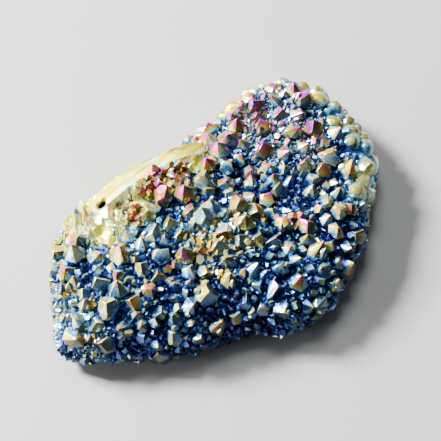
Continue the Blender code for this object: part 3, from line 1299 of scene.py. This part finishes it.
@dataclass(frozen=True)
class FilmMap:
    """How thick the metal film is over the stone, which sets its colour, and where it is flushed or worn."""

    slab: Slab
    ledge: Ledge
    bare_height: float = 0.10
    full_height: float = 2.2
    gap_film: float = 0.09
    tip_film: float = 0.56
    tall_film: float = 0.06
    tall_height: float = 4.0
    patches: tuple[Quad, ...] = (
        (-31.0, 21.0, 5.5, 0.42), (-9.2, -6.7, 5.5, 0.25), (-5.5, 15.5, 5.5, 0.20), (-47.0, 5.0, 5.0, 0.24),
        (22.0, 10.0, 9.0, 0.13),
    )  # fmt: skip
    patch_limit: float = 0.56
    flush_way: Pair = (0.68, 0.73)
    flush_from: float = -1.0
    flush_full: float = 28.0
    flush_patch: Quad = (-5.0, 17.0, 3.0, 0.5)
    flush_aside: Pair = (0.73, -0.68)
    flush_aside_from: float = 20.0
    flush_aside_none: float = 34.0
    ledge_film: float = 0.50
    ledge_reach: float = 1.8
    even_reach: float = 5.0

    def values(self, points: np.ndarray) -> dict[str, np.ndarray]:
        """The film's four measures at some points.

        Args:
            points: Their places.

        Returns:
            The film's thickness, its flush, the wear of the rim and how evenly the light falls, from 0 to 1.
        """
        ground, ledge = self.slab.surface(), self.ledge.surface()
        hits = [ground.find_nearest(Vector(point)) for point in points]
        heights = np.array([hit[3] for hit in hits])
        # The film thins towards the ground between the crystals; its dark navy there is partly the film's own
        # colour and partly painted shade
        share = np.clip((heights - self.bare_height) / (self.full_height - self.bare_height), 0.0, 1.0)
        film = self.gap_film + (self.tip_film - self.gap_film) * share**2 * (3.0 - 2.0 * share)
        film += self.tall_film * np.clip(heights / self.tall_height, 0.0, 1.0)
        for patch in self.patches:
            lifted = film + self.patch(points, *patch)
            film = np.where(film < self.patch_limit, np.minimum(lifted, self.patch_limit), film)
        beside = np.array([ledge.find_nearest(Vector(point))[3] for point in points])
        near_ledge = self.ledge_film * np.exp(-((beside / self.ledge_reach) ** 2))
        along = points[:, :2] @ np.array(self.flush_way)
        aside = points[:, :2] @ np.array(self.flush_aside)
        flush = np.clip((along - self.flush_from) / (self.flush_full - self.flush_from), 0.0, 1.0)
        span = self.flush_aside_none - self.flush_aside_from
        flush *= 1.0 - np.clip((aside - self.flush_aside_from) / span, 0.0, 1.0)
        flush += self.patch(points, *self.flush_patch)
        wear = np.array([self.slab.rim_share(hit[0]) for hit in hits])
        # Painted light: beside the ledge and on the worn rim, faces turned away from the lamp have their
        # painted shade lifted towards the lit colours
        even = np.maximum(wear, np.exp(-((beside / self.even_reach) ** 2)))
        return {"film": np.maximum(film, near_ledge), "flush": flush, "wear": wear, "even": even}

    def patch(self, points: np.ndarray, x: float, y: float, spread: float, lift: float) -> np.ndarray:
        """A soft round patch around a place, seen from above, with its full lift at its middle."""
        away = (points[:, 0] - x) ** 2 + (points[:, 1] - y) ** 2
        return lift * np.exp(-away / (2 * spread**2))

    def paint(self, data: Mesh) -> None:
        """Stores the film's measures on a mesh that is still in millimetres."""
        for name, values in self.values(read(data.vertices, "co", 3)).items():
            put_values(data, name, values)


class Grain(NamedTuple):
    """A noise: its lumps to a millimetre, its octaves and how strong the fine ones are."""

    scale: float = 1.0
    detail: float = 2.0
    roughness: float = 0.5


class FinishSheet(Sheet):
    """The nodes of one finish, which reads where it is on the stone and what is stored there."""

    noise_range: Pair = (0.3, 0.7)
    # Painted shade: faces turned this way, the steep back walls on the key lamp's side, are darkened
    painted_back_shade_way: Triple = (-0.44, 0.83, -0.34)
    painted_back_shade_range: Pair = (0.45, 0.95)

    def __init__(self, name: str) -> None:
        """Makes the material.

        Args:
            name: The material's name.
        """
        self.material = bpy.data.materials.new(name)
        self.material.use_nodes = True
        super().__init__(self.material.node_tree)
        self.at = self.drawn_out((1.0, 1.0, 1.0))

    def drawn_out(self, spacing: Triple) -> Socket:
        """The place on the stone, drawn out along each axis.

        Args:
            spacing: The unit along each axis, in millimetres.

        Returns:
            The place in those units.
        """
        place = self.add("ShaderNodeTexCoord", out="Object")
        scale = tuple(1 / (MM * step) for step in spacing)
        return self.add("ShaderNodeMapping", {"Vector": place, "Scale": scale})

    def attribute(self, name: str, out: str = "Fac") -> Socket:
        """A stored attribute, as a number or a vector."""
        return self.add("ShaderNodeAttribute", out=out, attribute_name=name)

    def ramp(self, factor: object, stops: Stops) -> Socket:
        """A colour ramp.

        Args:
            factor: What it reads.
            stops: The place and colour of each stop.

        Returns:
            The colour.
        """
        colour = self.add("ShaderNodeValToRGB", {0: factor}, "Color")
        elements = colour.node.color_ramp.elements
        while len(elements) < len(stops):
            elements.new(0.5)
        for element, (place, shade) in zip(elements, stops):
            element.position = place
            element.color = (*shade, 1.0)
        return colour

    def blend(self, factor: object, a: object, b: object, how: str = "MIX") -> Socket:
        """Two colours mixed, by the share of the second."""
        return self.add("ShaderNodeMix", {0: factor, 6: a, 7: b}, 2, data_type="RGBA", blend_type=how)

    def times(self, colour: object, *tints: object) -> Socket:
        """A colour multiplied by others.

        Args:
            colour: The colour.
            tints: The others.

        Returns:
            The product.
        """
        for tint in tints:
            colour = self.blend(1.0, colour, tint, "MULTIPLY")
        return colour

    def noise(self, at: Socket, grain: Grain) -> Socket:
        """A noise texture's value, about 0.5 on average."""
        inputs = {"Vector": at, "Scale": grain.scale, "Detail": grain.detail, "Roughness": grain.roughness}
        return self.add("ShaderNodeTexNoise", inputs)

    def wobble(self, at: Socket, grain: Grain, reach: float) -> Socket:
        """A noise from one side of 0 to the other, as far as its reach."""
        return self.ranged(self.noise(at, grain), -reach, reach)

    def spread(self, value: object, low: float, high: float, to_low: float = 0, to_high: float = 1) -> Socket:
        """A value with the range from low to high mapped to another, 0 to 1 unless it is given."""
        return self.add("ShaderNodeMapRange", {0: value, 1: low, 2: high, 3: to_low, 4: to_high})

    def ranged(self, noise_value: Socket, low: float, high: float) -> Socket:
        """Maps the usual range of a noise to another."""
        return self.spread(noise_value, *self.noise_range, low, high)

    def facing(self, way: Triple, least: float, full: float) -> Socket:
        """How far a face looks one way.

        Args:
            way: The way.
            least: What reads as 0, as the cosine of the angle between.
            full: What reads as 1.

        Returns:
            The share, from 0 to 1.
        """
        normal = self.add("ShaderNodeNewGeometry", out="True Normal")
        facing = self.add("ShaderNodeVectorMath", {0: normal, 1: way}, "Value", operation="DOT_PRODUCT")
        return self.spread(facing, least, full)

    def wall(self, tint: Triple) -> Socket:
        """White, and a darker tint of painted shade where the stone turns to the steep back wall."""
        return self.ramp(self.facing(self.painted_back_shade_way, *self.painted_back_shade_range), ((0.0, (1.0,) * 3), (1.0, tint)))

    def bump(self, strength: float, depth: float, height: Socket) -> Socket:
        """The normal with bumps of a strength, so many millimetres deep where their height is 1."""
        return self.add("ShaderNodeBump", {"Strength": strength, "Distance": depth * MM, "Height": height})

    def finish(
        self, colour: Socket, roughness: Socket, normal: Socket, metallic: object
    ) -> bpy.types.Material:
        """Feeds the shader.

        Args:
            colour: Its base colour.
            roughness: Its roughness.
            normal: Its normal.
            metallic: How metallic it is.

        Returns:
            The material.
        """
        inputs = {"Base Color": colour, "Roughness": roughness, "Normal": normal, "Metallic": metallic}
        for name, value in inputs.items():
            self.feed(self.tree.nodes["Principled BSDF"].inputs[name], value)
        return self.material


class Facet(NamedTuple):
    """What the coating reads at a point of a crystal's face."""

    tone: Socket
    height: Socket
    even: Socket
    lit: Socket


@dataclass(frozen=True)
class AuraCoating:
    """Thin metal film, with painted light and shade: navy in the gaps, then blue, silver, gold, orange and
    magenta.
    """

    name: str = "aura_coating"
    metallic: Pair = (1.0, 0.72)
    metallic_film: Pair = (0.15, 0.45)
    roughness: Pair = (0.10, 0.28)
    thick_film: Pair = (0.1, 0.4)
    thin_share: float = 0.5
    facet_shift: float = 0.38
    grain_shift: float = 0.08
    wander_shift: float = 0.16
    band_shift: float = 0.07
    band_spread: float = 9.0
    crest_shift: float = 0.20
    crest_height: Pair = (0.55, 1.1)
    crest_noise: Pair = (0.45, 0.62)
    flush_shift: float = 0.02
    flush_lit_shift: float = 0.57
    flush_height: float = 0.9
    flush_lit: Quad = (0.35, 0.75, 0.25, 1.0)
    worn_from: float = 0.55
    worn_film: Pair = (0.40, 0.55)
    # Painted light: the colours of faces turned to the lamp; the next ramp holds their darker, shaded copies
    # for faces turned away
    lit_stops: Stops = (
        # The darkest, lowest stops are the gaps' navy: partly the film's colour, partly painted shade
        (0.00, (0.050, 0.060, 0.150)), (0.12, (0.042, 0.078, 0.300)), (0.20, (0.046, 0.125, 0.450)),
        (0.28, (0.075, 0.280, 0.680)), (0.35, (0.150, 0.520, 0.860)), (0.42, (0.330, 0.800, 1.000)),
        (0.47, (0.780, 1.000, 0.900)), (0.53, (0.960, 1.000, 0.400)), (0.60, (1.000, 0.920, 0.110)),
        (0.68, (1.000, 0.710, 0.030)), (0.75, (1.000, 0.300, 0.040)), (0.82, (1.000, 0.070, 0.480)),
        (1.00, (0.680, 0.070, 1.000)),
    )  # fmt: skip
    painted_shade_stops: Stops = (
        (0.00, (0.050, 0.052, 0.150)), (0.16, (0.046, 0.064, 0.270)), (0.30, (0.070, 0.140, 0.340)),
        (0.42, (0.095, 0.195, 0.250)), (0.54, (0.125, 0.170, 0.120)), (0.66, (0.180, 0.146, 0.034)),
        (0.78, (0.255, 0.092, 0.042)), (1.00, (0.215, 0.055, 0.220)),
    )  # fmt: skip
    painted_shade_to_lit: Pair = (0.42, 0.74)
    painted_shade_dimming: Stops = ((0.00, (0.56, 0.56, 0.56)), (0.45, (1.00, 1.00, 1.00)))
    evenness: float = 0.60
    facet_dimming: Stops = ((0.0, (0.68, 0.68, 0.68)), (1.0, (1.0, 1.0, 1.0)))
    facet_mixing: float = 7.31
    patch_dimming: Stops = ((0.40, (0.74, 0.74, 0.74)), (0.56, (1.0, 1.0, 1.0)))
    patches: Grain = Grain(1 / 5.5)
    grain: Grain = Grain(1.9, 4.0, 0.62)
    wander: Grain = Grain(0.13)
    bands: Grain = Grain(2.6, 3.0, 0.6)
    crests: Grain = Grain(0.21, 1.0)
    sheen: Grain = Grain(2.7, 3.0)
    lines: Grain = Grain(16.0, 3.0)
    pits: Grain = Grain(1.7, 4.0)
    # Painted light: about the way to the key lamp, which picks between the lit and the shaded colours
    source: Triple = (-0.32, 0.55, 0.77)
    painted_light_range: Pair = (-0.05, 0.95)
    # Painted shade on the steep back walls
    painted_back_shade_tint: Triple = (0.42, 0.42, 0.42)
    line_depth: float = 0.5
    bump_strength: float = 0.6
    bump_depth: float = 0.12

    def build(self) -> bpy.types.Material:
        """Makes the material.

        Returns:
            The material.
        """
        sheet = FinishSheet(self.name)
        face = Facet(
            tone=sheet.attribute("facet"),
            height=sheet.add("ShaderNodeSeparateXYZ", {0: sheet.attribute("local", "Vector")}, "Z"),
            even=sheet.attribute("even"),
            lit=sheet.facing(self.source, *self.painted_light_range),
        )
        film = self.thickness(sheet, face)
        # Painted light and shade: the shaded colours turn into the lit ones as a face turns to the lamp, or
        # where light falls evenly; faces turned away are dimmed too
        side = sheet.spread(sheet.math("MULTIPLY_ADD", face.even, self.evenness, face.lit), *self.painted_shade_to_lit)
        tone = sheet.math("FRACT", sheet.math("MULTIPLY", face.tone, self.facet_mixing))
        colour = sheet.times(
            sheet.blend(side, sheet.ramp(film, self.painted_shade_stops), sheet.ramp(film, self.lit_stops)),
            sheet.ramp(face.lit, self.painted_shade_dimming),
            sheet.ramp(tone, self.facet_dimming),
            sheet.ramp(sheet.noise(sheet.at, self.patches), self.patch_dimming),
            # Painted shade on the steep back walls
            sheet.wall(self.painted_back_shade_tint),
        )
        roughness = sheet.ranged(sheet.noise(sheet.at, self.sheen), *self.roughness)
        metallic = sheet.spread(film, *self.metallic_film, *self.metallic)
        return sheet.finish(colour, roughness, self.relief(sheet, face), metallic)

    def thickness(self, sheet: FinishSheet, face: Facet) -> Socket:
        """The film's thickness with the shifts of each facet, grain, crest and flush.

        Args:
            sheet: The material's nodes.
            face: The facet.

        Returns:
            The thickness, from 0 to 1.
        """
        film, flush, wear = (sheet.attribute(name) for name in ("film", "flush", "wear"))
        uneven = sheet.math(
            "ADD",
            sheet.wobble(sheet.at, self.grain, self.grain_shift),
            sheet.wobble(sheet.at, self.wander, self.wander_shift),
        )
        spread = sheet.math("MULTIPLY", face.tone, self.band_spread)
        across = sheet.add("ShaderNodeCombineXYZ", {"X": spread, "Z": face.height})
        half = self.facet_shift / 2
        shift = sheet.math("ADD", sheet.spread(face.tone, 0.0, 1.0, -half, half), uneven)
        shift = sheet.math("ADD", shift, sheet.wobble(across, self.bands, self.band_shift))
        crest = sheet.spread(face.height, *self.crest_height, 0.0, self.crest_shift)
        crested = sheet.spread(sheet.noise(sheet.at, self.crests), *self.crest_noise)
        crest = sheet.math("MULTIPLY", crest, crested)
        crest = sheet.math("MULTIPLY", crest, sheet.math("SUBTRACT", 1.0, face.even))
        high = sheet.spread(face.height, 0.0, self.flush_height)
        # Painted light: the flush shifts the film most on high faces turned to the lamp
        turned = sheet.math("MULTIPLY", sheet.spread(face.lit, *self.flush_lit), high)
        flushed = sheet.math("MULTIPLY_ADD", turned, self.flush_lit_shift, self.flush_shift)
        shift = sheet.math("ADD", shift, sheet.math("MULTIPLY_ADD", flush, flushed, crest))
        thick = sheet.spread(film, *self.thick_film, self.thin_share, 1.0)
        worn = sheet.math("ADD", sheet.spread(film, 0.0, self.worn_from, *self.worn_film), uneven)
        shifted = sheet.math("MULTIPLY_ADD", shift, thick, film)
        mixed = sheet.add("ShaderNodeMix", {0: wear, 2: shifted, 3: worn})
        return sheet.add("ShaderNodeClamp", {0: mixed})

    def relief(self, sheet: FinishSheet, face: Facet) -> Socket:
        """The fine growth lines and pits of a face.

        Args:
            sheet: The material's nodes.
            face: The facet.

        Returns:
            The bumped normal.
        """
        across = sheet.add("ShaderNodeCombineXYZ", {"X": face.tone, "Z": face.height})
        lines = sheet.math("MULTIPLY", sheet.noise(across, self.lines), self.line_depth)
        relief = sheet.math("ADD", lines, sheet.noise(sheet.at, self.pits))
        return sheet.bump(self.bump_strength, self.bump_depth, relief)


@dataclass(frozen=True)
class BrokenQuartz:
    """Bare broken quartz under a thin even film: cream and pale gold, white and pink, with dark cracks."""

    name: str = "broken_quartz"
    metallic: float = 0.90
    roughness: Pair = (0.26, 0.46)
    line_share: float = 0.55
    rough_shift: float = 0.18
    rough_least: float = 0.62
    border_shift: float = 0.10
    # Painted shade on the steep back walls
    painted_back_shade_tint: Triple = (0.62, 0.52, 0.40)
    streak_spacing: Triple = (7.0, 1.1, 2.2)
    streaks: Grain = Grain(1.0, 4.0, 0.6)
    column_spacing: Triple = (1.1, 4.5, 5.0)
    columns: Grain = Grain(1.0, 3.0, 0.6)
    clouds: Grain = Grain(0.16)
    pits: Grain = Grain(3.0, 4.0)
    stops: Stops = (
        (0.26, (0.40, 0.24, 0.03)), (0.36, (0.92, 0.64, 0.04)), (0.45, (1.00, 0.87, 0.05)),
        (0.54, (1.00, 0.97, 0.14)), (0.62, (0.85, 1.00, 0.74)), (0.70, (0.80, 1.00, 0.85)),
        (0.77, (1.00, 0.80, 0.25)), (0.81, (1.00, 0.45, 0.15)), (0.86, (0.95, 0.25, 0.50)),
    )  # fmt: skip
    crack_noise: Quad = (0.40, 0.46, 1.0, 0.0)
    crack_colour: Quad = (0.09, 0.11, 0.10, 1.0)
    pit_depth: Pair = (0.15, 0.40)
    # Painted shade: the pit's floor is near black
    painted_pit_shade: Quad = (0.004, 0.006, 0.02, 1.0)
    bump_strength: float = 0.3
    bump_depth: float = 0.10

    def build(self) -> bpy.types.Material:
        """Makes the material.

        Returns:
            The material.
        """
        sheet = FinishSheet(self.name)
        streaks = sheet.noise(sheet.drawn_out(self.streak_spacing), self.streaks)
        columns = sheet.noise(sheet.drawn_out(self.column_spacing), self.columns)
        local = sheet.add("ShaderNodeSeparateXYZ", {0: sheet.attribute("local", "Vector")})
        rough, border, pit = local.node.outputs
        lines = sheet.add("ShaderNodeMix", {0: rough, 2: streaks, 3: columns})
        broad = sheet.math("MULTIPLY", sheet.noise(sheet.at, self.clouds), 1.0 - self.line_share)
        tone = sheet.math("MULTIPLY_ADD", lines, self.line_share, broad)
        tone = sheet.math("MULTIPLY_ADD", rough, self.rough_shift, tone)
        tone = sheet.math("MULTIPLY_ADD", border, self.border_shift, tone)
        tone = sheet.math("MAXIMUM", tone, sheet.math("MULTIPLY", rough, self.rough_least))
        cracks = sheet.math("MULTIPLY", sheet.spread(columns, *self.crack_noise), rough)
        colour = sheet.blend(cracks, sheet.ramp(tone, self.stops), self.crack_colour)
        # Painted shade: darkens the pit towards near black
        colour = sheet.blend(sheet.spread(pit, *self.pit_depth), colour, self.painted_pit_shade)
        relief = sheet.math("ADD", streaks, sheet.noise(sheet.at, self.pits))
        bump = sheet.bump(self.bump_strength, self.bump_depth, relief)
        # Painted shade on the steep back walls
        colour = sheet.times(colour, sheet.wall(self.painted_back_shade_tint))
        return sheet.finish(colour, sheet.ranged(streaks, *self.roughness), bump, self.metallic)


@dataclass(frozen=True)
class SawnQuartz:
    """The sawn foot: dull pale grey quartz with faint saw lines."""

    name: str = "sawn_quartz"
    roughness: Pair = (0.45, 0.65)
    saw_way: float = math.radians(32.0)
    saw_scale: Triple = (0.02, 2.2, 1.0)
    lines: Grain = Grain(1.0, 3.0, 0.6)
    clouds: Grain = Grain(0.12, 5.0, 0.6)
    line_share: float = 0.55
    line_colour: Quad = (0.30, 0.30, 0.31, 1.0)
    stops: Stops = (
        (0.30, (0.30, 0.30, 0.31)), (0.48, (0.52, 0.51, 0.49)), (0.60, (0.66, 0.65, 0.62)),
        (0.75, (0.74, 0.70, 0.62)),
    )  # fmt: skip
    bump_strength: float = 0.25
    bump_depth: float = 0.05

    def build(self) -> bpy.types.Material:
        """Makes the material.

        Returns:
            The material.
        """
        sheet = FinishSheet(self.name)
        turned = {"Vector": sheet.at, "Rotation": (0.0, 0.0, self.saw_way), "Scale": self.saw_scale}
        lines = sheet.noise(sheet.add("ShaderNodeMapping", turned), self.lines)
        stone = sheet.ramp(sheet.noise(sheet.at, self.clouds), self.stops)
        stone = sheet.blend(sheet.ranged(lines, 0.0, self.line_share), stone, self.line_colour)
        bump = sheet.bump(self.bump_strength, self.bump_depth, lines)
        return sheet.finish(stone, sheet.ranged(lines, *self.roughness), bump, 0.0)


@dataclass
class Cluster:
    """The whole stone: its crust of crystals and the sugar in its gaps."""

    slab: Slab = field(default_factory=Slab)
    ledge: Ledge = field(default_factory=Ledge)
    noise_seed: int = 5
    foot_height: float = 0.02
    crease: float = math.radians(38.0)
    rough_from: float = 0.5
    sugar_shapes: int = 6
    sugar_size: Pair = (0.32, 0.85)
    sugar_spacing: float = 0.72
    sugar_density: float = 3.0
    sugar_lean: float = math.radians(28.0)
    sugar_lowest: float = 3.0

    def build(self) -> list[bpy.types.Object]:
        """Builds the crust and the sugar, in metres and in the frame.

        Returns:
            The two pieces.
        """
        noise.seed_set(self.noise_seed)
        plan = CrystalPlan(self.slab, self.ledge)
        shapes, large = plan.draw_shapes(), plan.large_crystals()
        offset = self.middle(shapes, large)
        rim, small = plan.worn_points(), plan.small_crystals(large)
        log.info("%d crystals in the solid", len(large))
        large = [plan.rounded(place) for place in large]
        places = large + small + rim + plan.parallel_growth(large) + plan.druse_points() + plan.shard_points()
        log.info("%d crystals", len(places))
        coating, film = AuraCoating().build(), FilmMap(self.slab, self.ledge)
        crust = self.crust(places, shapes, coating)
        film.paint(crust)
        sugar = self.sugar(crust, shapes, coating)
        film.paint(sugar)
        self.shade(crust)
        for data in (crust, sugar):
            data.transform(Matrix.Scale(MM, 4) @ Matrix.Translation(-offset))
        return [new_object("crystal_crust", crust), new_object("crystal_sugar", sugar)]

    def middle(self, shapes: Sequence[PointShape], large: Sequence[Place]) -> Vector:
        """How far the solid's box stands off the slab's own origin, which the part takes away.

        Args:
            shapes: The crystals' shapes.
            large: The solid's crystals.

        Returns:
            The offset, with no height.
        """
        corners = corners_of(self.slab.growth_surface())
        corners += [Vector(corner) for corner in self.ledge.corners]
        points = [corners_of(shape.solid()) for shape in shapes]
        for place in large:
            stand = standing(place)
            corners += [stand @ corner for corner in points[place.shape]]
        low = Vector(min(corner[k] for corner in corners) for k in range(3))
        high = Vector(max(corner[k] for corner in corners) for k in range(3))
        return Vector(((low.x + high.x) / 2, (low.y + high.y) / 2, 0.0))

    def crust(
        self, places: Sequence[Place], shapes: Sequence[PointShape], coating: bpy.types.Material
    ) -> Mesh:
        """The slab, the ledge and the crystals, joined.

        Args:
            places: The crystals' places.
            shapes: Their shapes.
            coating: Their finish.

        Returns:
            One closed mesh.
        """
        tones = np.random.default_rng(SEED)
        stock = [shape.mesh("shape", cut, tones) for cut in Cut for shape in shapes]
        slab = new_object("slab_shell", self.slab.rough_shell())
        self.ledge.claim(slab.data)
        ledge = new_object("ledge_block", self.ledge.block())
        with shelf("shape", stock) as shelved:
            values = {
                "Shapes": shelved,
                "Slab": slab,
                "Ledge": ledge,
                "Foot": self.foot_height,
                "Coating": coating,
                "Break": BrokenQuartz().build(),
                "Saw cut": SawnQuartz().build(),
            }
            made = CrustTree(values).run(point_cloud("crust_points", places, len(shapes)))
        for thing in (slab, ledge):
            bpy.data.objects.remove(thing)
        return made

    def sugar(self, crust: Mesh, shapes: Sequence[PointShape], coating: bpy.types.Material) -> Mesh:
        """The tiny points on the bare ground between the crystals.

        Args:
            crust: The crust they grow on, in millimetres.
            shapes: The crystals' shapes.
            coating: Their finish.

        Returns:
            One mesh.
        """
        kinds = read(crust.attributes["kind"].data, "value")
        heights = read(crust.polygons, "center", 3)[:, 2]
        wear = read(crust.attributes["wear"].data, "value")
        worn = np.array([wear[face.vertices[0]] for face in crust.polygons])
        carrier = crust.copy()
        bare = (kinds == Kind.SLAB.value) & (heights > self.sugar_lowest)
        put_values(carrier, "bare", bare * (1.0 - worn), "FACE")
        tones = np.random.default_rng(SEED + 1)
        stock = [shape.mesh("tiny", Cut.PLAIN, tones) for shape in shapes[: self.sugar_shapes]]
        with shelf("tiny", stock) as tiny:
            values = {
                "Shapes": tiny,
                "Spacing": self.sugar_spacing,
                "Density": self.sugar_density,
                "Smallest": self.sugar_size[0],
                "Largest": self.sugar_size[1],
                "Lean": self.sugar_lean,
                "Seed": SEED,
                "Coating": coating,
            }
            made = SugarTree(values).run(new_object("sugar_ground", carrier))
        for name in ("film", "flush", "wear", "even", "bare"):
            if name in made.attributes:
                made.attributes.remove(made.attributes[name])
        return made

    def shade(self, crust: Mesh) -> None:
        """Shades the broken and worn stone smooth, and keeps the crystals' facets flat.

        Args:
            crust: The crust's mesh.
        """
        kinds = read(crust.attributes["kind"].data, "value")
        local = crust.attributes["local"].data
        rough = np.array([local[face.vertices[0]].vector[0] for face in crust.polygons])
        flat = (kinds == Kind.CRYSTAL.value) | ((kinds == Kind.LEDGE.value) & (rough > self.rough_from))
        crust.polygons.foreach_set("use_smooth", ~flat)
        crust.set_sharp_from_angle(angle=self.crease)


class Lamp(NamedTuple):
    """A soft light: the way to it, how far off it is, its width and its power in watts."""

    name: str
    way: Triple
    distance: float
    size: float
    power: float


@dataclass(frozen=True)
class Studio:
    """A pale floor, soft light from the upper left and the camera."""

    azimuth: float = math.radians(-43.0)
    elevation: float = math.radians(55.0)
    lens: float = 100.0
    nearest: float = 0.01
    distance: float = 0.30625
    pan: Pair = (-0.0020, 0.0023)
    floor_size: float = 3.0
    floor_drop: float = 0.00005
    floor_colour: Quad = (0.34, 0.34, 0.335, 1.0)
    floor_roughness: float = 0.7
    sky_colour: Quad = (0.56, 0.62, 0.72, 1.0)
    sky_strength: float = 0.23
    lamps: tuple[Lamp, ...] = (
        Lamp("key", (-0.34, 0.69, 0.64), 0.8, 0.22, 50.0),
        Lamp("top", (0.15, 0.25, 0.95), 0.8, 0.30, 4.0),
        Lamp("low_left", (-0.90, 0.40, 0.25), 0.8, 0.30, 4.0),
        Lamp("low_back", (-0.30, 0.94, 0.14), 0.7, 0.30, 3.0),
    )

    def floor(self) -> bpy.types.Object:
        """The pale floor.

        Returns:
            The floor.
        """
        shape = bmesh.new()
        bmesh.ops.create_grid(shape, x_segments=1, y_segments=1, size=self.floor_size / 2)
        made = new_object("floor", mesh_from(shape, "floor"))
        made.location.z = -self.floor_drop
        material = bpy.data.materials.new("pale_floor")
        material.use_nodes = True
        shader = material.node_tree.nodes["Principled BSDF"]
        shader.inputs["Base Color"].default_value = self.floor_colour
        shader.inputs["Roughness"].default_value = self.floor_roughness
        made.data.materials.append(material)
        return made

    def light(self) -> None:
        """Sets up the world and the lights."""
        world = bpy.data.worlds.new("studio")
        bpy.context.scene.world = world
        world.use_nodes = True
        sky = world.node_tree.nodes["Background"].inputs
        sky[0].default_value, sky[1].default_value = self.sky_colour, self.sky_strength
        for lamp in self.lamps:
            light = bpy.data.lights.new(lamp.name, "AREA")
            light.size, light.energy = lamp.size, lamp.power
            made, way = new_object(lamp.name, light), Vector(lamp.way)
            made.location = way.normalized() * lamp.distance
            made.rotation_euler = way.to_track_quat("Z", "Y").to_euler()

    def camera(self, low: Vector, high: Vector) -> None:
        """Sets up the camera.

        Args:
            low: The object's lowest corner.
            high: Its highest corner.
        """
        data = bpy.data.cameras.new("camera")
        data.lens, data.clip_start = self.lens, self.nearest
        made = new_object("camera", data)
        made.rotation_mode = "QUATERNION"
        level = math.cos(self.elevation)
        back = Vector(
            (math.sin(self.azimuth) * level, -math.cos(self.azimuth) * level, math.sin(self.elevation))
        )
        turn = (-back).to_track_quat("-Z", "Y")
        made.location = (low + high) / 2 + turn @ Vector((*self.pan, self.distance))
        made.rotation_quaternion = turn
        bpy.context.scene.camera = made


def main() -> None:
    """Builds the stone and its studio."""
    logging.basicConfig(level=logging.INFO, format="%(name)s: %(message)s")
    cad_low, cad_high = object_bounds()
    for piece in Cluster().build():
        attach(piece, BODY)
        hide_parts(NODE)
        log.info("%s: %d faces", piece.name, len(piece.data.polygons))
    studio = Studio()
    studio.floor()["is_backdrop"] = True
    studio.light()
    studio.camera(cad_low, cad_high)
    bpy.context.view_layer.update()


if __name__ == "__main__":
    main()
